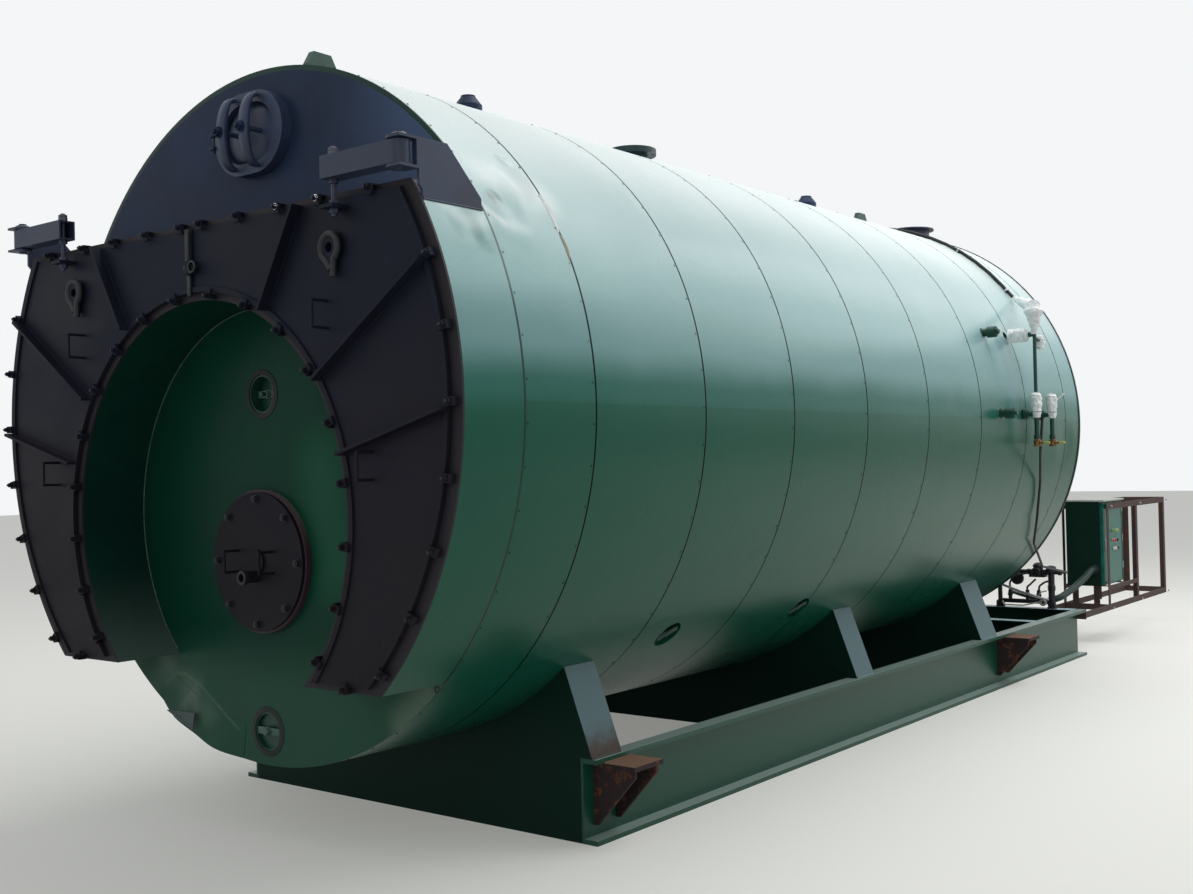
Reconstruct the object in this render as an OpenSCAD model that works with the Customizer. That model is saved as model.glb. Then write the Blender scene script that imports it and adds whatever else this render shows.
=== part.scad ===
// Industrial fire-tube boiler on a steel skid.
// X is across the boiler, Y runs from the smokebox end to the burner end, Z is up.
// The floor is z = 0 and the origin is under the middle saddle.

/* [Boiler shell] */
// Diameter over the jacket sheets
jacket_d = 3550; // [3000:10:4000]
// Height of the shell axis above the floor
axis_h = 2190; // [2150:10:2400]
// Length of the shell between the two head faces
shell_len = 7240; // [6900:10:8000]
// Thickness of the lagging and its jacket sheets
lagging_t = 75; // [50:1:90]
// Wall of the pressure shell
shell_wall = 18; // [12:1:30]
// Thickness of both end heads
head_t = 25; // [16:1:35]
// Width of the first jacket sheet behind the head
first_sheet_w = 500; // [300:5:700]
// Width of every other jacket sheet
sheet_w = 915; // [600:5:1200]
// Width of the seams between the jacket sheets
seam_w = 8; // [4:1:20]
// Depth of these seams
seam_t = 4; // [2:1:8]

/* [Smokebox] */
// Depth of the horseshoe smokebox in front of the head
sb_depth = 383; // [300:1:450]
// Height of its flat top above the shell axis
sb_top = 943; // [860:1:1000]
// Depth of its two feet below the shell axis
sb_leg = 1258; // [1150:1:1330]
// Radius of the open recess inside the horseshoe
recess_r = 1062; // [980:1:1100]
// How far the recess centre lies below the shell axis
recess_drop = 498; // [460:1:560]
// Plate thickness of the smokebox walls
sb_wall = 10; // [6:1:16]
// Thickness of the green band around the smokebox
band_t = 13; // [8:1:20]
// Thickness of the front flange
flange_t = 12; // [8:1:20]
// Width of the front flange around each opening
flange_w = 130; // [100:1:180]
// Width of the bar behind the door split
mullion_w = 140; // [100:1:200]

/* [Smokebox doors] */
// Rim of the flange left free outside the doors
door_rim = 59; // [40:1:80]
// Rim of the flange left free inside the doors
door_inner_rim = 38; // [25:1:60]
// Free rim above and below the doors
door_edge_rim = 28; // [20:1:50]
// Running gap behind the doors, and half the gap at the split
door_gap = 5; // [5:0.5:8]
// Thickness of the door plates
door_t = 12; // [8:1:16]
// Depth of the stiffener bars on the doors
rib_h = 60; // [30:1:70]
// Thickness of the stiffener bars
rib_t = 14; // [8:1:20]
// Angles of the stiffener bars from upright, about the recess centre
rib_angles = [30, 56, 75]; // angles in degrees

/* [Davits] */
// Distance of each davit pivot from the boiler centre line
pivot_x = 1503; // [1480:1:1530]
// Distance of each hanger rod from the boiler centre line
hanger_x = 1090; // [1000:1:1200]
// Distance of pivot and hanger in front of the head
davit_y = 446; // [440:1:460]
// Underside of the davit arm above the shell axis
arm_z = 987; // [975:1:1020]
// Height of the davit arm
arm_h = 100; // [70:1:110]
// Depth of the davit arm from front to back
arm_w = 90; // [70:1:94]
// Wall of the davit arm
arm_wall = 8; // [5:1:12]
// Diameter of the davit pivot pin
pin_d = 40; // [25:1:50]
// Diameter of the hanger rod
rod_d = 24; // [16:1:30]
// Running clearance round pins and rods, on the radius
pin_gap = 0.5; // [0.3:0.1:1]

/* [Fittings on the head] */
// Width and height of the manway opening
manway_open = [406, 305]; // width, height
// Width of the ring round the manway opening
manway_ring_w = 68; // [40:1:90]
// Depth of the manway ring
manway_ring_t = 62; // [30:1:80]
// Height of the manway centre above the shell axis
manway_z = 1447; // [1400:1:1460]
// Radius of the round access door in the recess
access_r = 365; // [250:1:420]
// Depth of the access door centre below the shell axis
access_drop = 735; // [650:1:800]
// Heights of the two handholes in the casing, from the shell axis
casing_hole_z = [118, -1603]; // upper, lower

/* [Shell openings] */
// Places of the side handholes along the shell
side_hole_y = [1735, 3196]; // from the head
// Angle of the side handholes below the horizontal
side_hole_a = 44; // [35:1:50]
// Radius of the side handhole pockets in the jacket
side_hole_r = 92; // [70:1:110]
// Distance of each lifting lug from its end of the shell
lug_in = [425, 470]; // smokebox end, burner end
// Distance of each small top nozzle from its end of the shell
relief_in = [1578, 1479]; // smokebox end, burner end
// Pipe, bore and sleeve diameter of the small top nozzles
relief_d = [89, 78, 170]; // pipe, bore, sleeve
// Height of the small top nozzles above the jacket
relief_h = 199; // [160:1:260]
// Place of the steam nozzle, from the smokebox end
steam_y = 3250; // [2800:1:3700]
// Flange, pipe and bore diameter of the steam nozzle
steam_d = [343, 219, 203]; // flange, pipe, bore
// Bolt circle, bolt hole and number of holes of the steam nozzle
steam_bolts = [298.5, 22, 8]; // circle, hole, number
// Height of the steam nozzle above the jacket
steam_h = 157; // [120:1:240]

/* [Skid] */
// Width over the outer edges of the skid beams
skid_w = 2790; // [2700:10:2840]
// Depth of the skid beams
beam_h = 430; // [380:1:480]
// Width of the beam flanges
beam_flange_w = 100; // [80:1:130]
// Thickness of the beam flanges
beam_flange_t = 25; // [15:1:35]
// Thickness of the beam web
beam_web_t = 15; // [10:1:25]
// Distance from the smokebox end of the shell to the front and middle saddles
saddle_in = [920, 3807]; // front, middle
// Distance from the burner end of the shell back to the rear saddle
rear_saddle_in = 1270; // [1100:1:1500]
// How far the skid reaches past the burner end of the shell
skid_past = 1230; // [1100:1:1600]
// Width of each saddle along the shell
saddle_w = [246, 246, 330]; // front, middle, rear
// Inward lean of the saddle sides, as a share of their height
saddle_lean = 0.375; // [0.2:0.005:0.5]
// Plate thickness of the saddles
saddle_t = 16; // [10:1:25]
// Reach of the jacking brackets outside the beam web
jack_reach = 280; // [220:1:320]
// Length of the jacking brackets along the beam
jack_len = 245; // [200:1:300]
// Height of the jacking brackets
jack_h = 300; // [250:1:340]

/* [Water level fittings] */
// Heights of the upper and lower connections, from the shell axis
level_z = [655, 35]; // upper, lower
// Distance of the spare couplings and the two float columns from the burner end
level_in = [1785, 1320, 970]; // coupling, column 1, column 2
// Distance of the float columns outside the jacket
level_out = 105; // [90:1:160]
// Diameter of the connecting pipes
level_pipe_d = 60; // [40:1:76]

/* [Control panel] */
// Width, depth and height of the panel box
panel_size = [360, 660, 845]; // x, y, z
// How far the panel stands out of the front of the cage
panel_out = 60; // [20:1:120]
// Height of the panel underside above the floor
panel_z = 580; // [560:1:640]
// Distance from the end of the skid to the cage
cage_past = 830; // [600:1:1000]
// Length of the cage
cage_len = 2060; // [1800:1:2400]
// Width of the cage across the boiler
cage_w = 450; // [440:1:700]
// Distance of the cage inside the outer edge of the skid
cage_in = 35; // [10:1:90]
// Height of the cage underside above the floor
cage_z = 335; // [300:1:345]
// Height of the cage
cage_h = 1070; // [980:1:1200]
// Leg width of the cage angle iron
angle_w = 60; // [40:1:75]
// Thickness of the cage angle iron
angle_t = 7; // [5:1:10]

/* [Hidden] */
$fn = 96;
big_fn = 360;
big_r = 900;
rod_fn = 24;

jacket_r = jacket_d / 2;
shell_r = jacket_r - lagging_t;
rim_t = lagging_t / 3;
saddle_y = [saddle_in[0], saddle_in[1], shell_len - rear_saddle_in];
skid_y = [saddle_y[0], shell_len + skid_past];
org_y = saddle_y[1] + saddle_w[1] / 2;
lug_y = [lug_in[0], shell_len - lug_in[1]];
relief_y = [relief_in[0], shell_len - relief_in[1]];
level_y = [for (d = level_in) shell_len - d];
level_x = jacket_r + level_out;
cage_y = [skid_y[1] + cage_past, skid_y[1] + cage_past + cage_len];
panel_y = cage_y[0] - panel_out;
sb_r = jacket_r - band_t;
door_back = -sb_depth - door_gap;
door_front = door_back - door_t;
beam_x = skid_w / 2 - beam_flange_w;
fit_gap = 0.3;
through = 2;
nozzle_gap = 6;

green = "#2e5f55";
dark_green = "#1f4a42";
black_steel = "#34363f";
blue_steel = "#4a5560";
rusty = "#6b5248";
brown = "#5d4a42";

// Frames of reference: the shell axis at the head face, and the floor below it.
module at_shell() { translate([0, -org_y, axis_h]) children(); }
module at_floor() { translate([0, -org_y, 0]) children(); }

// A cylinder along Y from y0.
module along_y(r, y0, len) {
  translate([0, y0, 0]) rotate([-90, 0, 0])
    cylinder(r = r, h = len, $fn = r > big_r ? big_fn : $fn);
}
// A profile drawn in X and Z, made len thick along Y from y0.
module slab_y(y0, len) {
  translate([0, y0 + len, 0]) rotate([90, 0, 0]) linear_extrude(len) children();
}
// A profile drawn in Y and Z, made len thick along X from x0.
module slab_x(x0, len) {
  translate([x0, 0, 0]) rotate([90, 0, 90]) linear_extrude(len) children();
}
// Children turned from the top of the shell by angle a, at y.
module on_shell(y, a = 0) { translate([0, y, 0]) rotate([0, a, 0]) children(); }
// A bar with round ends.
module stadium(w, h) {
  square([w - h, h], center = true);
  for (s = [-1, 1]) translate([s * (w - h) / 2, 0]) circle(d = h);
}
// A circle about the shell axis, fine enough for a large radius.
module ring_line(r) { circle(r, $fn = big_fn); }
module both_sides() {
  children();
  mirror([1, 0, 0]) children();
}

// The shell
seams = [for (y = first_sheet_w; y < shell_len - sheet_w / 6; y = y + sheet_w) y];
module shell_cuts(clear) {
  for (y = relief_y) on_shell(y) cylinder(d = relief_d[0] + 2 * clear, h = jacket_r + 50);
  on_shell(steam_y) cylinder(d = steam_d[1] + 2 * clear, h = jacket_r + 50);
}
module side_pockets(r, from) {
  for (y = side_hole_y, s = [-1, 1])
    on_shell(y, s * (90 + side_hole_a)) translate([0, 0, from]) cylinder(r = r, h = 300);
}

module pressure_shell() color(black_steel) at_shell() difference() {
  along_y(shell_r, head_t, shell_len - 2 * head_t);
  along_y(shell_r - shell_wall, head_t - through, shell_len);
  shell_cuts(0);
}

module jacket() color(green) at_shell() difference() {
  along_y(jacket_r, 0, shell_len);
  for (y = seams) difference() {
    along_y(jacket_r + through, y - seam_w / 2, seam_w);
    along_y(jacket_r - seam_t, y - seam_w, 2 * seam_w);
  }
  along_y(shell_r, -through, shell_len + 2 * through);
  along_y(jacket_r - rim_t, -through, head_t + through);
  along_y(jacket_r - rim_t, shell_len - head_t, head_t + through);
  shell_cuts(nozzle_gap);
  side_pockets(side_hole_r, shell_r - 50);
  for (y = lug_y) translate([-lug_t / 2 - nozzle_gap, y - lug_w / 2 - nozzle_gap, 0])
    cube([lug_t + 2 * nozzle_gap, lug_w + 2 * nozzle_gap, jacket_r + 50]);
  level_pipe_cuts(nozzle_gap);
  on_shell(vent_y) cylinder(d = vent_d + 2 * nozzle_gap, h = jacket_r + 50);
}

module rear_head() color(black_steel) at_shell() difference() {
  along_y(jacket_r - rim_t, 0, head_t);
  casing_hole_cuts(head_t);
}

module front_head() color(black_steel) at_shell()
  along_y(jacket_r - rim_t, shell_len - head_t, head_t);

// The casing plate: the lower head, seen in the recess and below the feet.
casing_t = 4;
module casing_plate() color(green) at_shell() difference() {
  slab_y(-casing_t, casing_t) intersection() {
    ring_line(jacket_r);
    union() {
      recess(recess_r);
      translate([-jacket_r, -jacket_r]) square([2 * jacket_r, jacket_r - sb_leg]);
    }
  }
  translate([0, 0, -access_drop]) along_y(access_r - 20, -casing_t - through, casing_t + 2 * through);
  casing_hole_cuts(0);
}

// The smokebox
module sb_outline(r, top, leg) {
  intersection() {
    ring_line(r);
    translate([-r, -leg]) square([2 * r, top + leg]);
  }
}
module recess(r) { translate([0, -recess_drop]) ring_line(r); }

module smokebox_walls() color(blue_steel) at_shell()
  slab_y(-sb_depth + flange_t, sb_depth - flange_t) difference() {
    sb_outline(sb_r, sb_top, sb_leg);
    sb_outline(sb_r - sb_wall, sb_top - sb_wall, sb_leg - sb_wall);
    recess(recess_r + sb_wall);
  }

module smokebox_inner_wall() color(green) at_shell()
  slab_y(-sb_depth + flange_t, sb_depth - flange_t) intersection() {
    difference() { recess(recess_r + sb_wall); recess(recess_r); }
    translate([-jacket_r, -sb_leg]) square([2 * jacket_r, sb_top + sb_leg]);
  }

module smokebox_flange() color(blue_steel) at_shell()
  slab_y(-sb_depth, flange_t) difference() {
    sb_outline(jacket_r, sb_top, sb_leg);
    recess(recess_r);
    difference() {
      sb_outline(jacket_r - flange_w, sb_top - flange_w * 0.7, sb_leg - flange_w * 0.7);
      recess(recess_r + flange_w * 0.8);
      translate([-mullion_w / 2, 0]) square([mullion_w, sb_top]);
    }
  }

band_top = 846;
module smokebox_band() color(green) at_shell() both_sides()
  slab_y(-sb_depth + flange_t, sb_depth - flange_t) intersection() {
    difference() { ring_line(jacket_r); ring_line(sb_r); }
    translate([0, -sb_leg]) square([jacket_r, band_top + sb_leg]);
  }

// The right half door in its closed place; the left one is its mirror image.
door_r = jacket_r - door_rim;
door_in_r = recess_r + door_inner_rim;
door_top = sb_top - door_edge_rim;
door_leg = sb_leg - door_edge_rim;
lug_plate_z = 858;
lug_plate_t = 16;
module door_outline() difference() {
  intersection() {
    ring_line(door_r);
    translate([door_gap / 2, -door_leg]) square([door_r, door_top + door_leg]);
  }
  recess(door_in_r);
}
// A bar through points, with a ball at each corner that may stand out a little.
module rod_path(pts, d, ball = 1) {
  for (i = [0 : len(pts) - 2]) {
    v = pts[i + 1] - pts[i];
    translate(pts[i]) rotate([0, acos(v[2] / norm(v)), atan2(v[1], v[0])])
      cylinder(d = d, h = norm(v), $fn = rod_fn);
  }
  for (i = [1 : len(pts) - 2]) translate(pts[i]) sphere(d = ball * d, $fn = rod_fn);
}
// An upright handle of bent round bar that stands out from the face at y.
grip_d = 14;
module grip(x, y, z, tall, out)
  translate([x, y, z]) rod_path([[0, 2, tall / 2], [0, -out, tall / 2], [0, -out, -tall / 2], [0, 2, -tall / 2]], grip_d);
eye_r = 46;
eye_tail = 105;
module door_half() difference() {
  union() {
    slab_y(door_front, door_t) door_outline();
    // edge bar round the plate
    slab_y(door_front - 10, 10) intersection() {
      door_outline();
      difference() {
        ring_line(door_r);
        difference() {
          ring_line(door_r - 26);
          recess(door_in_r + 26);
        }
      }
    }
    // stiffener bars that point at the recess centre
    slab_y(door_front - rib_h, rib_h) intersection() {
      door_outline();
      translate([0, -recess_drop]) for (a = rib_angles) rotate(-a)
        translate([-rib_t / 2, door_in_r + 12]) square([rib_t, jacket_r]);
    }
    // lifting eye and hanger plate below the davit rod
    slab_y(door_front - 30, 30) translate([hanger_x - 62, 700]) difference() {
      union() {
        circle(eye_r);
        polygon([[-eye_r + 3, -14], [eye_r - 3, -14], [10, -eye_tail], [-10, -eye_tail]]);
      }
      circle(eye_r / 2);
    }
    translate([hanger_x - 42, door_front - 94, lug_plate_z]) cube([84, 94, lug_plate_t]);
    grip(980, door_front, 410, 120, 90);
    grip(1250, door_front, -265, 120, 90);
    // half of the clamp at the split
    translate([door_gap / 2, door_front - 34, 690]) cube([22, 34, 62]);
  }
  translate([hanger_x, -davit_y, lug_plate_z - through])
    cylinder(d = rod_d + 2 * pin_gap, h = lug_plate_t + 2 * through);
}
module right_door() color(black_steel) at_shell() door_half();
module left_door() color(black_steel) at_shell() mirror([1, 0, 0]) door_half();

// The davit bracket: a gusset on the smokebox side, and a fork with the pivot pin.
fork_t = 12;
fork_z = arm_z - door_gap - fork_t;
fork_top = arm_z + arm_h + door_gap;
fork_in = davit_y - 56;
fork_out = davit_y + 56;
gusset_t = 15;
gusset_x = pivot_x + 43;
module davit_bracket() {
  gusset_z = band_top + fit_gap;
  slab_x(gusset_x, gusset_t) polygon([[-fork_in, fork_top + fork_t], [-221, fork_top + fork_t],
    [-14, 897], [-14, gusset_z], [-sb_depth + flange_t, gusset_z],
    [-sb_depth + flange_t, gusset_z + 40], [-fork_in, gusset_z + 60]]);
  for (z = [fork_z, fork_top]) translate([0, 0, z]) linear_extrude(fork_t) {
    translate([pivot_x, -davit_y]) circle(r = 56);
    translate([pivot_x, -fork_out]) square([gusset_x + gusset_t - pivot_x, fork_out - fork_in]);
  }
  translate([pivot_x, -davit_y, fork_z - 8]) cylinder(d = pin_d, h = fork_top + fork_t + 30 - fork_z);
  translate([pivot_x, -davit_y, fork_z]) cylinder(d = 1.7 * pin_d, h = fork_t + door_gap - fit_gap);
  translate([pivot_x, -davit_y, fork_top + fork_t]) cylinder(d1 = 96, d2 = 60, h = 14);
  slab_x(gusset_x - fork_t, fork_t + gusset_t) translate([-fork_in - fork_t, fork_z])
    square([fork_t, fork_top - fork_z]);
}
module right_davit_bracket() color(blue_steel) at_shell() davit_bracket();
module left_davit_bracket() color(blue_steel) at_shell() mirror([1, 0, 0]) davit_bracket();

// The davit arm with its hanger rod; it swings on the pivot pin.
module davit_arm() {
  difference() {
    union() {
      translate([hanger_x - 40, -davit_y - arm_w / 2, arm_z])
        cube([pivot_x - hanger_x + 40, arm_w, arm_h]);
      translate([pivot_x, -davit_y, arm_z]) cylinder(d = arm_w, h = arm_h);
    }
    translate([hanger_x - 40 - through, -davit_y - arm_w / 2 + arm_wall, arm_z + arm_wall])
      cube([pivot_x - hanger_x - 20, arm_w - 2 * arm_wall, arm_h - 2 * arm_wall]);
    translate([pivot_x, -davit_y, arm_z - through])
      cylinder(d = pin_d + 2 * pin_gap, h = arm_h + 2 * through);
  }
  translate([hanger_x, -davit_y, lug_plate_z - 34]) cylinder(d = rod_d, h = arm_z + arm_h + 40 - lug_plate_z + 34);
  for (z = [arm_z + arm_h, arm_z - 20, lug_plate_z - 20 - fit_gap, lug_plate_z + lug_plate_t + fit_gap])
    translate([hanger_x, -davit_y, z]) cylinder(d = rod_d * 1.8, h = 20, $fn = 6);
}
module right_davit_arm() color(blue_steel) at_shell() davit_arm();
module left_davit_arm() color(blue_steel) at_shell() mirror([1, 0, 0]) davit_arm();

// Manway in the upper head
module manway_ring() color(blue_steel) at_shell() translate([0, 0, manway_z])
  slab_y(-manway_ring_t, manway_ring_t) difference() {
    stadium(manway_open[0] + 2 * manway_ring_w, manway_open[1] + 2 * manway_ring_w * 0.85);
    stadium(manway_open[0], manway_open[1]);
  }
module manway_cover() color(black_steel) at_shell() translate([0, 0, manway_z])
  slab_y(-manway_ring_t / 3, manway_ring_t / 3) stadium(manway_open[0], manway_open[1]);
module manway_yokes() color(blue_steel) at_shell() translate([0, 0, manway_z]) {
  yoke_r = manway_open[1] * 0.62;
  for (s = [-1, 1]) translate([s * manway_open[0] * 0.22, 0, 0]) {
    slab_x(-14, 28) intersection() {
      translate([yoke_r * 0.45, 0]) translate([-manway_ring_t, 0]) difference() {
        circle(yoke_r);
        circle(yoke_r - 34);
      }
      translate([-manway_ring_t - yoke_r, -yoke_r]) square([yoke_r, 2 * yoke_r]);
    }
    translate([0, -manway_ring_t - 66, 0]) rotate([-90, 0, 0])
      cylinder(d = 26, h = manway_ring_t * 2 / 3 + 66);
  }
}

// Round access door in the recess
module access_ring() color(black_steel) at_shell() translate([0, 0, -access_drop]) difference() {
  along_y(access_r, -36, 36 - casing_t);
  along_y(access_r - 70, -36 - through, 50);
}
module access_door() color(black_steel) at_shell() translate([0, 0, -access_drop]) {
  along_y(access_r - 12, -54, 18);
  along_y(60, -66, 12);
  for (x = [-150, 130]) grip(x, -54, 0, 108, 88);
  // open sight tube
  translate([0, -150, -75]) rotate([-90, 0, 0]) difference() {
    cylinder(d = 60, h = 96);
    translate([0, 0, -through]) cylinder(d = 44, h = 70);
  }
}

// Handholes in the casing plate: deep cups with a cover, a yoke bar and its stud inside
casing_hole_r = 97;
casing_hole_depth = [66, 24];
module casing_hole_cuts(y1)
  for (z = casing_hole_z) translate([0, 0, z]) along_y(casing_hole_r, -casing_t - through, y1 + casing_t + 2 * through);
module casing_handholes() color(dark_green) at_shell() for (i = [0, 1]) translate([0, 0, casing_hole_z[i]]) {
  cover_y = casing_hole_depth[i] - 8;
  difference() {
    along_y(casing_hole_r - fit_gap, -casing_t, casing_hole_depth[i] + casing_t);
    along_y(casing_hole_r - 7, -casing_t - through, cover_y + casing_t + through);
  }
  translate([7 - casing_hole_r, cover_y - 14, -15]) cube([2 * casing_hole_r - 14, 15, 30]);
  along_y(11, -casing_t - 6, cover_y + casing_t);
}

// Handholes in the lower sides of the shell
module side_handholes() color(dark_green) at_shell()
  for (y = side_hole_y, s = [-1, 1]) on_shell(y, s * (90 + side_hole_a)) translate([0, 0, shell_r]) {
    difference() {
      translate([0, 0, -8]) cylinder(r = side_hole_r - 14, h = 48);
      translate([0, 0, 16]) cylinder(r = side_hole_r - 30, h = 60);
      translate([0, 0, -shell_r]) along_y(shell_r, -200, 400);
    }
    translate([-12, -side_hole_r + 20, 40]) cube([24, 2 * side_hole_r - 40, 22]);
  }

// Lifting lugs and top nozzles
lug_w = 205;
lug_h = 189;
lug_t = 40;
lug_top_w = 120;
lug_corner = 74;
lug_eye_r = 34;
lug_eye_z = 75;
module lifting_lugs() color(green) at_shell() for (y = lug_y) translate([0, y, 0]) difference() {
  slab_x(-lug_t / 2, lug_t) difference() {
    polygon([[-lug_w / 2, shell_r - 60], [lug_w / 2, shell_r - 60], [lug_w / 2, jacket_r + lug_h - lug_corner],
      [lug_top_w / 2, jacket_r + lug_h], [-lug_top_w / 2, jacket_r + lug_h], [-lug_w / 2, jacket_r + lug_h - lug_corner]]);
    translate([0, jacket_r + lug_eye_z]) circle(r = lug_eye_r);
  }
  along_y(shell_r, -lug_w, 2 * lug_w);
}

// An open flanged nozzle: d holds flange, pipe and bore; bolts holds circle, hole and number.
module flanged_nozzle(y, d, bolts, tall, ft) on_shell(y) difference() {
  flange_z = jacket_r + tall - ft;
  inside_z = shell_r - shell_wall;
  union() {
    translate([0, 0, inside_z]) cylinder(d = d[1], h = flange_z - inside_z);
    translate([0, 0, flange_z]) cylinder(d = d[0], h = ft);
  }
  translate([0, 0, inside_z - through]) cylinder(d = d[2], h = flange_z);
  for (i = [0 : bolts[2] - 1]) rotate((i + 0.5) * 360 / bolts[2])
    translate([bolts[0] / 2, 0, flange_z - through]) cylinder(d = bolts[1], h = ft + 2 * through);
}
// Small nozzles: an open pipe in a lagging sleeve that closes round it in a cone.
sleeve_h = 139;
cone_h = 50;
module relief_nozzles() color(blue_steel) at_shell() for (y = relief_y) on_shell(y) difference() {
  union() {
    translate([0, 0, shell_r - shell_wall]) cylinder(d = relief_d[0], h = lagging_t + shell_wall + relief_h);
    difference() {
      union() {
        translate([0, 0, shell_r]) cylinder(d = relief_d[2], h = lagging_t + sleeve_h);
        translate([0, 0, jacket_r + sleeve_h]) cylinder(d1 = relief_d[2], d2 = relief_d[0] + 6, h = cone_h);
      }
      along_y(jacket_r + fit_gap, -relief_d[2], 2 * relief_d[2]);
    }
  }
  cylinder(d = relief_d[1], h = 2 * jacket_r);
}
module steam_nozzle() color(green) at_shell() flanged_nozzle(steam_y, steam_d, steam_bolts, steam_h, 41);
vent_y = relief_y[1] - 226;
vent_d = 34;
module vent_valve() color(dark_green) at_shell() on_shell(vent_y) {
  difference() {
    cylinder(d = vent_d, h = jacket_r + 70);
    translate([0, 0, -through]) cylinder(d = 3 * vent_d, h = shell_r + through);
  }
  translate([0, 0, jacket_r + 70]) sphere(d = 62);
  translate([0, 0, jacket_r + 92]) cylinder(d = 20, h = 26);
  translate([0, 0, jacket_r + 118]) cylinder(d = 78, h = 12);
}

// The burner end
front_box_r = 1280;
front_box_len = 880;
module end_ring() color(black_steel) at_shell() difference() {
  along_y(jacket_r + 6, shell_len, 22);
  along_y(jacket_r - rim_t, shell_len - through, 30);
}
module burner_end_smokebox() color(black_steel) at_shell() difference() {
  union() {
    along_y(front_box_r, shell_len, front_box_len);
    along_y(front_box_r + 40, shell_len + front_box_len - 16, 16);
  }
  along_y(front_box_r - sb_wall, shell_len - through, front_box_len + 40);
  translate([0, stack_y, 0]) cylinder(r = stack_r, h = front_box_r + 100);
}
stack_r = 180;
stack_flange_r = 224;
stack_y = shell_len + 600;
stack_top = 1942;
module burner_end_doors() color(black_steel) at_shell()
  for (s = [0, 1]) mirror([s, 0, 0]) {
    slab_y(shell_len + front_box_len, 12) difference() {
      ring_line(front_box_r + 30);
      translate([-2 * front_box_r, -2 * front_box_r]) square([2 * front_box_r + 2, 4 * front_box_r]);
      translate([0, -furnace_drop]) circle(furnace_r);
    }
    for (z = [300, 760]) translate([120, shell_len + front_box_len + 12, z])
      cube([sqrt(pow(front_box_r, 2) - z * z) - 180, 50, 14]);
  }
furnace_drop = 735;
furnace_r = 470;
module burner_plate() color(blue_steel) at_shell() translate([0, 0, -furnace_drop]) {
  difference() {
    along_y(furnace_r, shell_len, front_box_len + 40);
    along_y(furnace_r - 14, shell_len - through, front_box_len + 200);
  }
  difference() {
    along_y(furnace_r + 60, shell_len + front_box_len + 12 + fit_gap, 20);
    along_y(furnace_r, shell_len, front_box_len + 200);
  }
  along_y(furnace_r + 60, shell_len + front_box_len + 40, 20);
  along_y(160, shell_len + front_box_len + 60, 70);
}
module stack_outlet() color(blue_steel) at_shell() translate([0, stack_y, 0]) difference() {
  union() {
    cylinder(r = stack_r - fit_gap, h = stack_top);
    translate([0, 0, stack_top - 14]) cylinder(r = stack_flange_r, h = 14);
  }
  translate([0, 0, -through]) cylinder(r = stack_r - 8, h = stack_top + 2 * through);
  along_y(front_box_r - sb_wall, -2 * stack_r, 4 * stack_r);
}

// The skid
module beam_profile() {
  difference() {
    translate([beam_x, 0]) square([beam_flange_w, beam_h]);
    translate([beam_x + beam_web_t, beam_flange_t])
      square([beam_flange_w, beam_h - 2 * beam_flange_t]);
  }
}
module skid_beam() {
  slab_y(skid_y[0], skid_y[1] - skid_y[0]) beam_profile();
}
module skid_beam_right() color(green) at_floor() skid_beam();
module skid_beam_left() color(green) at_floor() mirror([1, 0, 0]) skid_beam();
cross_w = 120;
// Channels between the beams, open towards the smokebox end.
module skid_cross_members() color(dark_green) at_floor() {
  for (y = [shell_len + 70, skid_y[1] - cross_w])
    translate([-beam_x, y, 0]) difference() {
      cube([2 * beam_x, cross_w, beam_h]);
      translate([-through, -15, 15]) cube([2 * beam_x + 2 * through, cross_w, beam_h - 30]);
    }
}

// Distance below the shell axis at which the saddle sides end, inside the shell
saddle_end = 1200;
module saddle(i) at_floor() {
  y0 = saddle_y[i];
  w = saddle_w[i];
  foot_x = skid_w / 2 - 25;
  top_z = axis_h - saddle_end;
  top_x = foot_x - saddle_lean * (top_z - beam_h);
  lap = saddle_t / 2;
  // front and rear webs, cut to the shell
  for (y = [y0, y0 + w - saddle_t]) slab_y(y, saddle_t) difference() {
    union() {
      polygon([[-foot_x, beam_h], [foot_x, beam_h], [top_x, top_z], [-top_x, top_z]]);
      translate([-beam_x, 0]) square([2 * beam_x, beam_h + lap]);
    }
    translate([0, axis_h]) ring_line(jacket_r);
  }
  // sloping outer strips
  both_sides() difference() {
    slab_y(y0 + lap, w - 2 * lap) polygon([[foot_x - saddle_t, beam_h], [foot_x, beam_h],
      [top_x, top_z], [top_x - saddle_t, top_z]]);
    translate([0, 0, axis_h]) along_y(jacket_r, 0, shell_len);
  }
  // upright stiffeners between the webs, on the base plate
  for (x = [-620, -350, 350, 620]) difference() {
    translate([x - lap, y0 + lap, lap]) cube([saddle_t, w - 2 * lap, axis_h / 2]);
    translate([0, 0, axis_h]) along_y(jacket_r, 0, shell_len);
  }
  translate([-beam_x, y0 + lap, 0]) cube([2 * beam_x, w - 2 * lap, saddle_t]);
}
module front_saddle() color(dark_green) saddle(0);
module middle_saddle() color(dark_green) saddle(1);
module rear_saddle() color(dark_green) saddle(2);

module jacking_brackets() color(rusty) at_floor() both_sides() for (y = [saddle_y[0] + 60, saddle_y[2] + 450])
  translate([beam_x + beam_web_t, y, beam_h - beam_flange_t]) {
    translate([0, 0, -25]) cube([jack_reach, jack_len, 25]);
    for (dy = [20, jack_len - 40]) translate([0, dy + 18, -25]) rotate([90, 0, 0])
      linear_extrude(18) polygon([[0, 0], [jack_reach - 16, 0], [jack_reach - 16, -36], [24, -jack_h], [0, -jack_h]]);
  }

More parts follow.
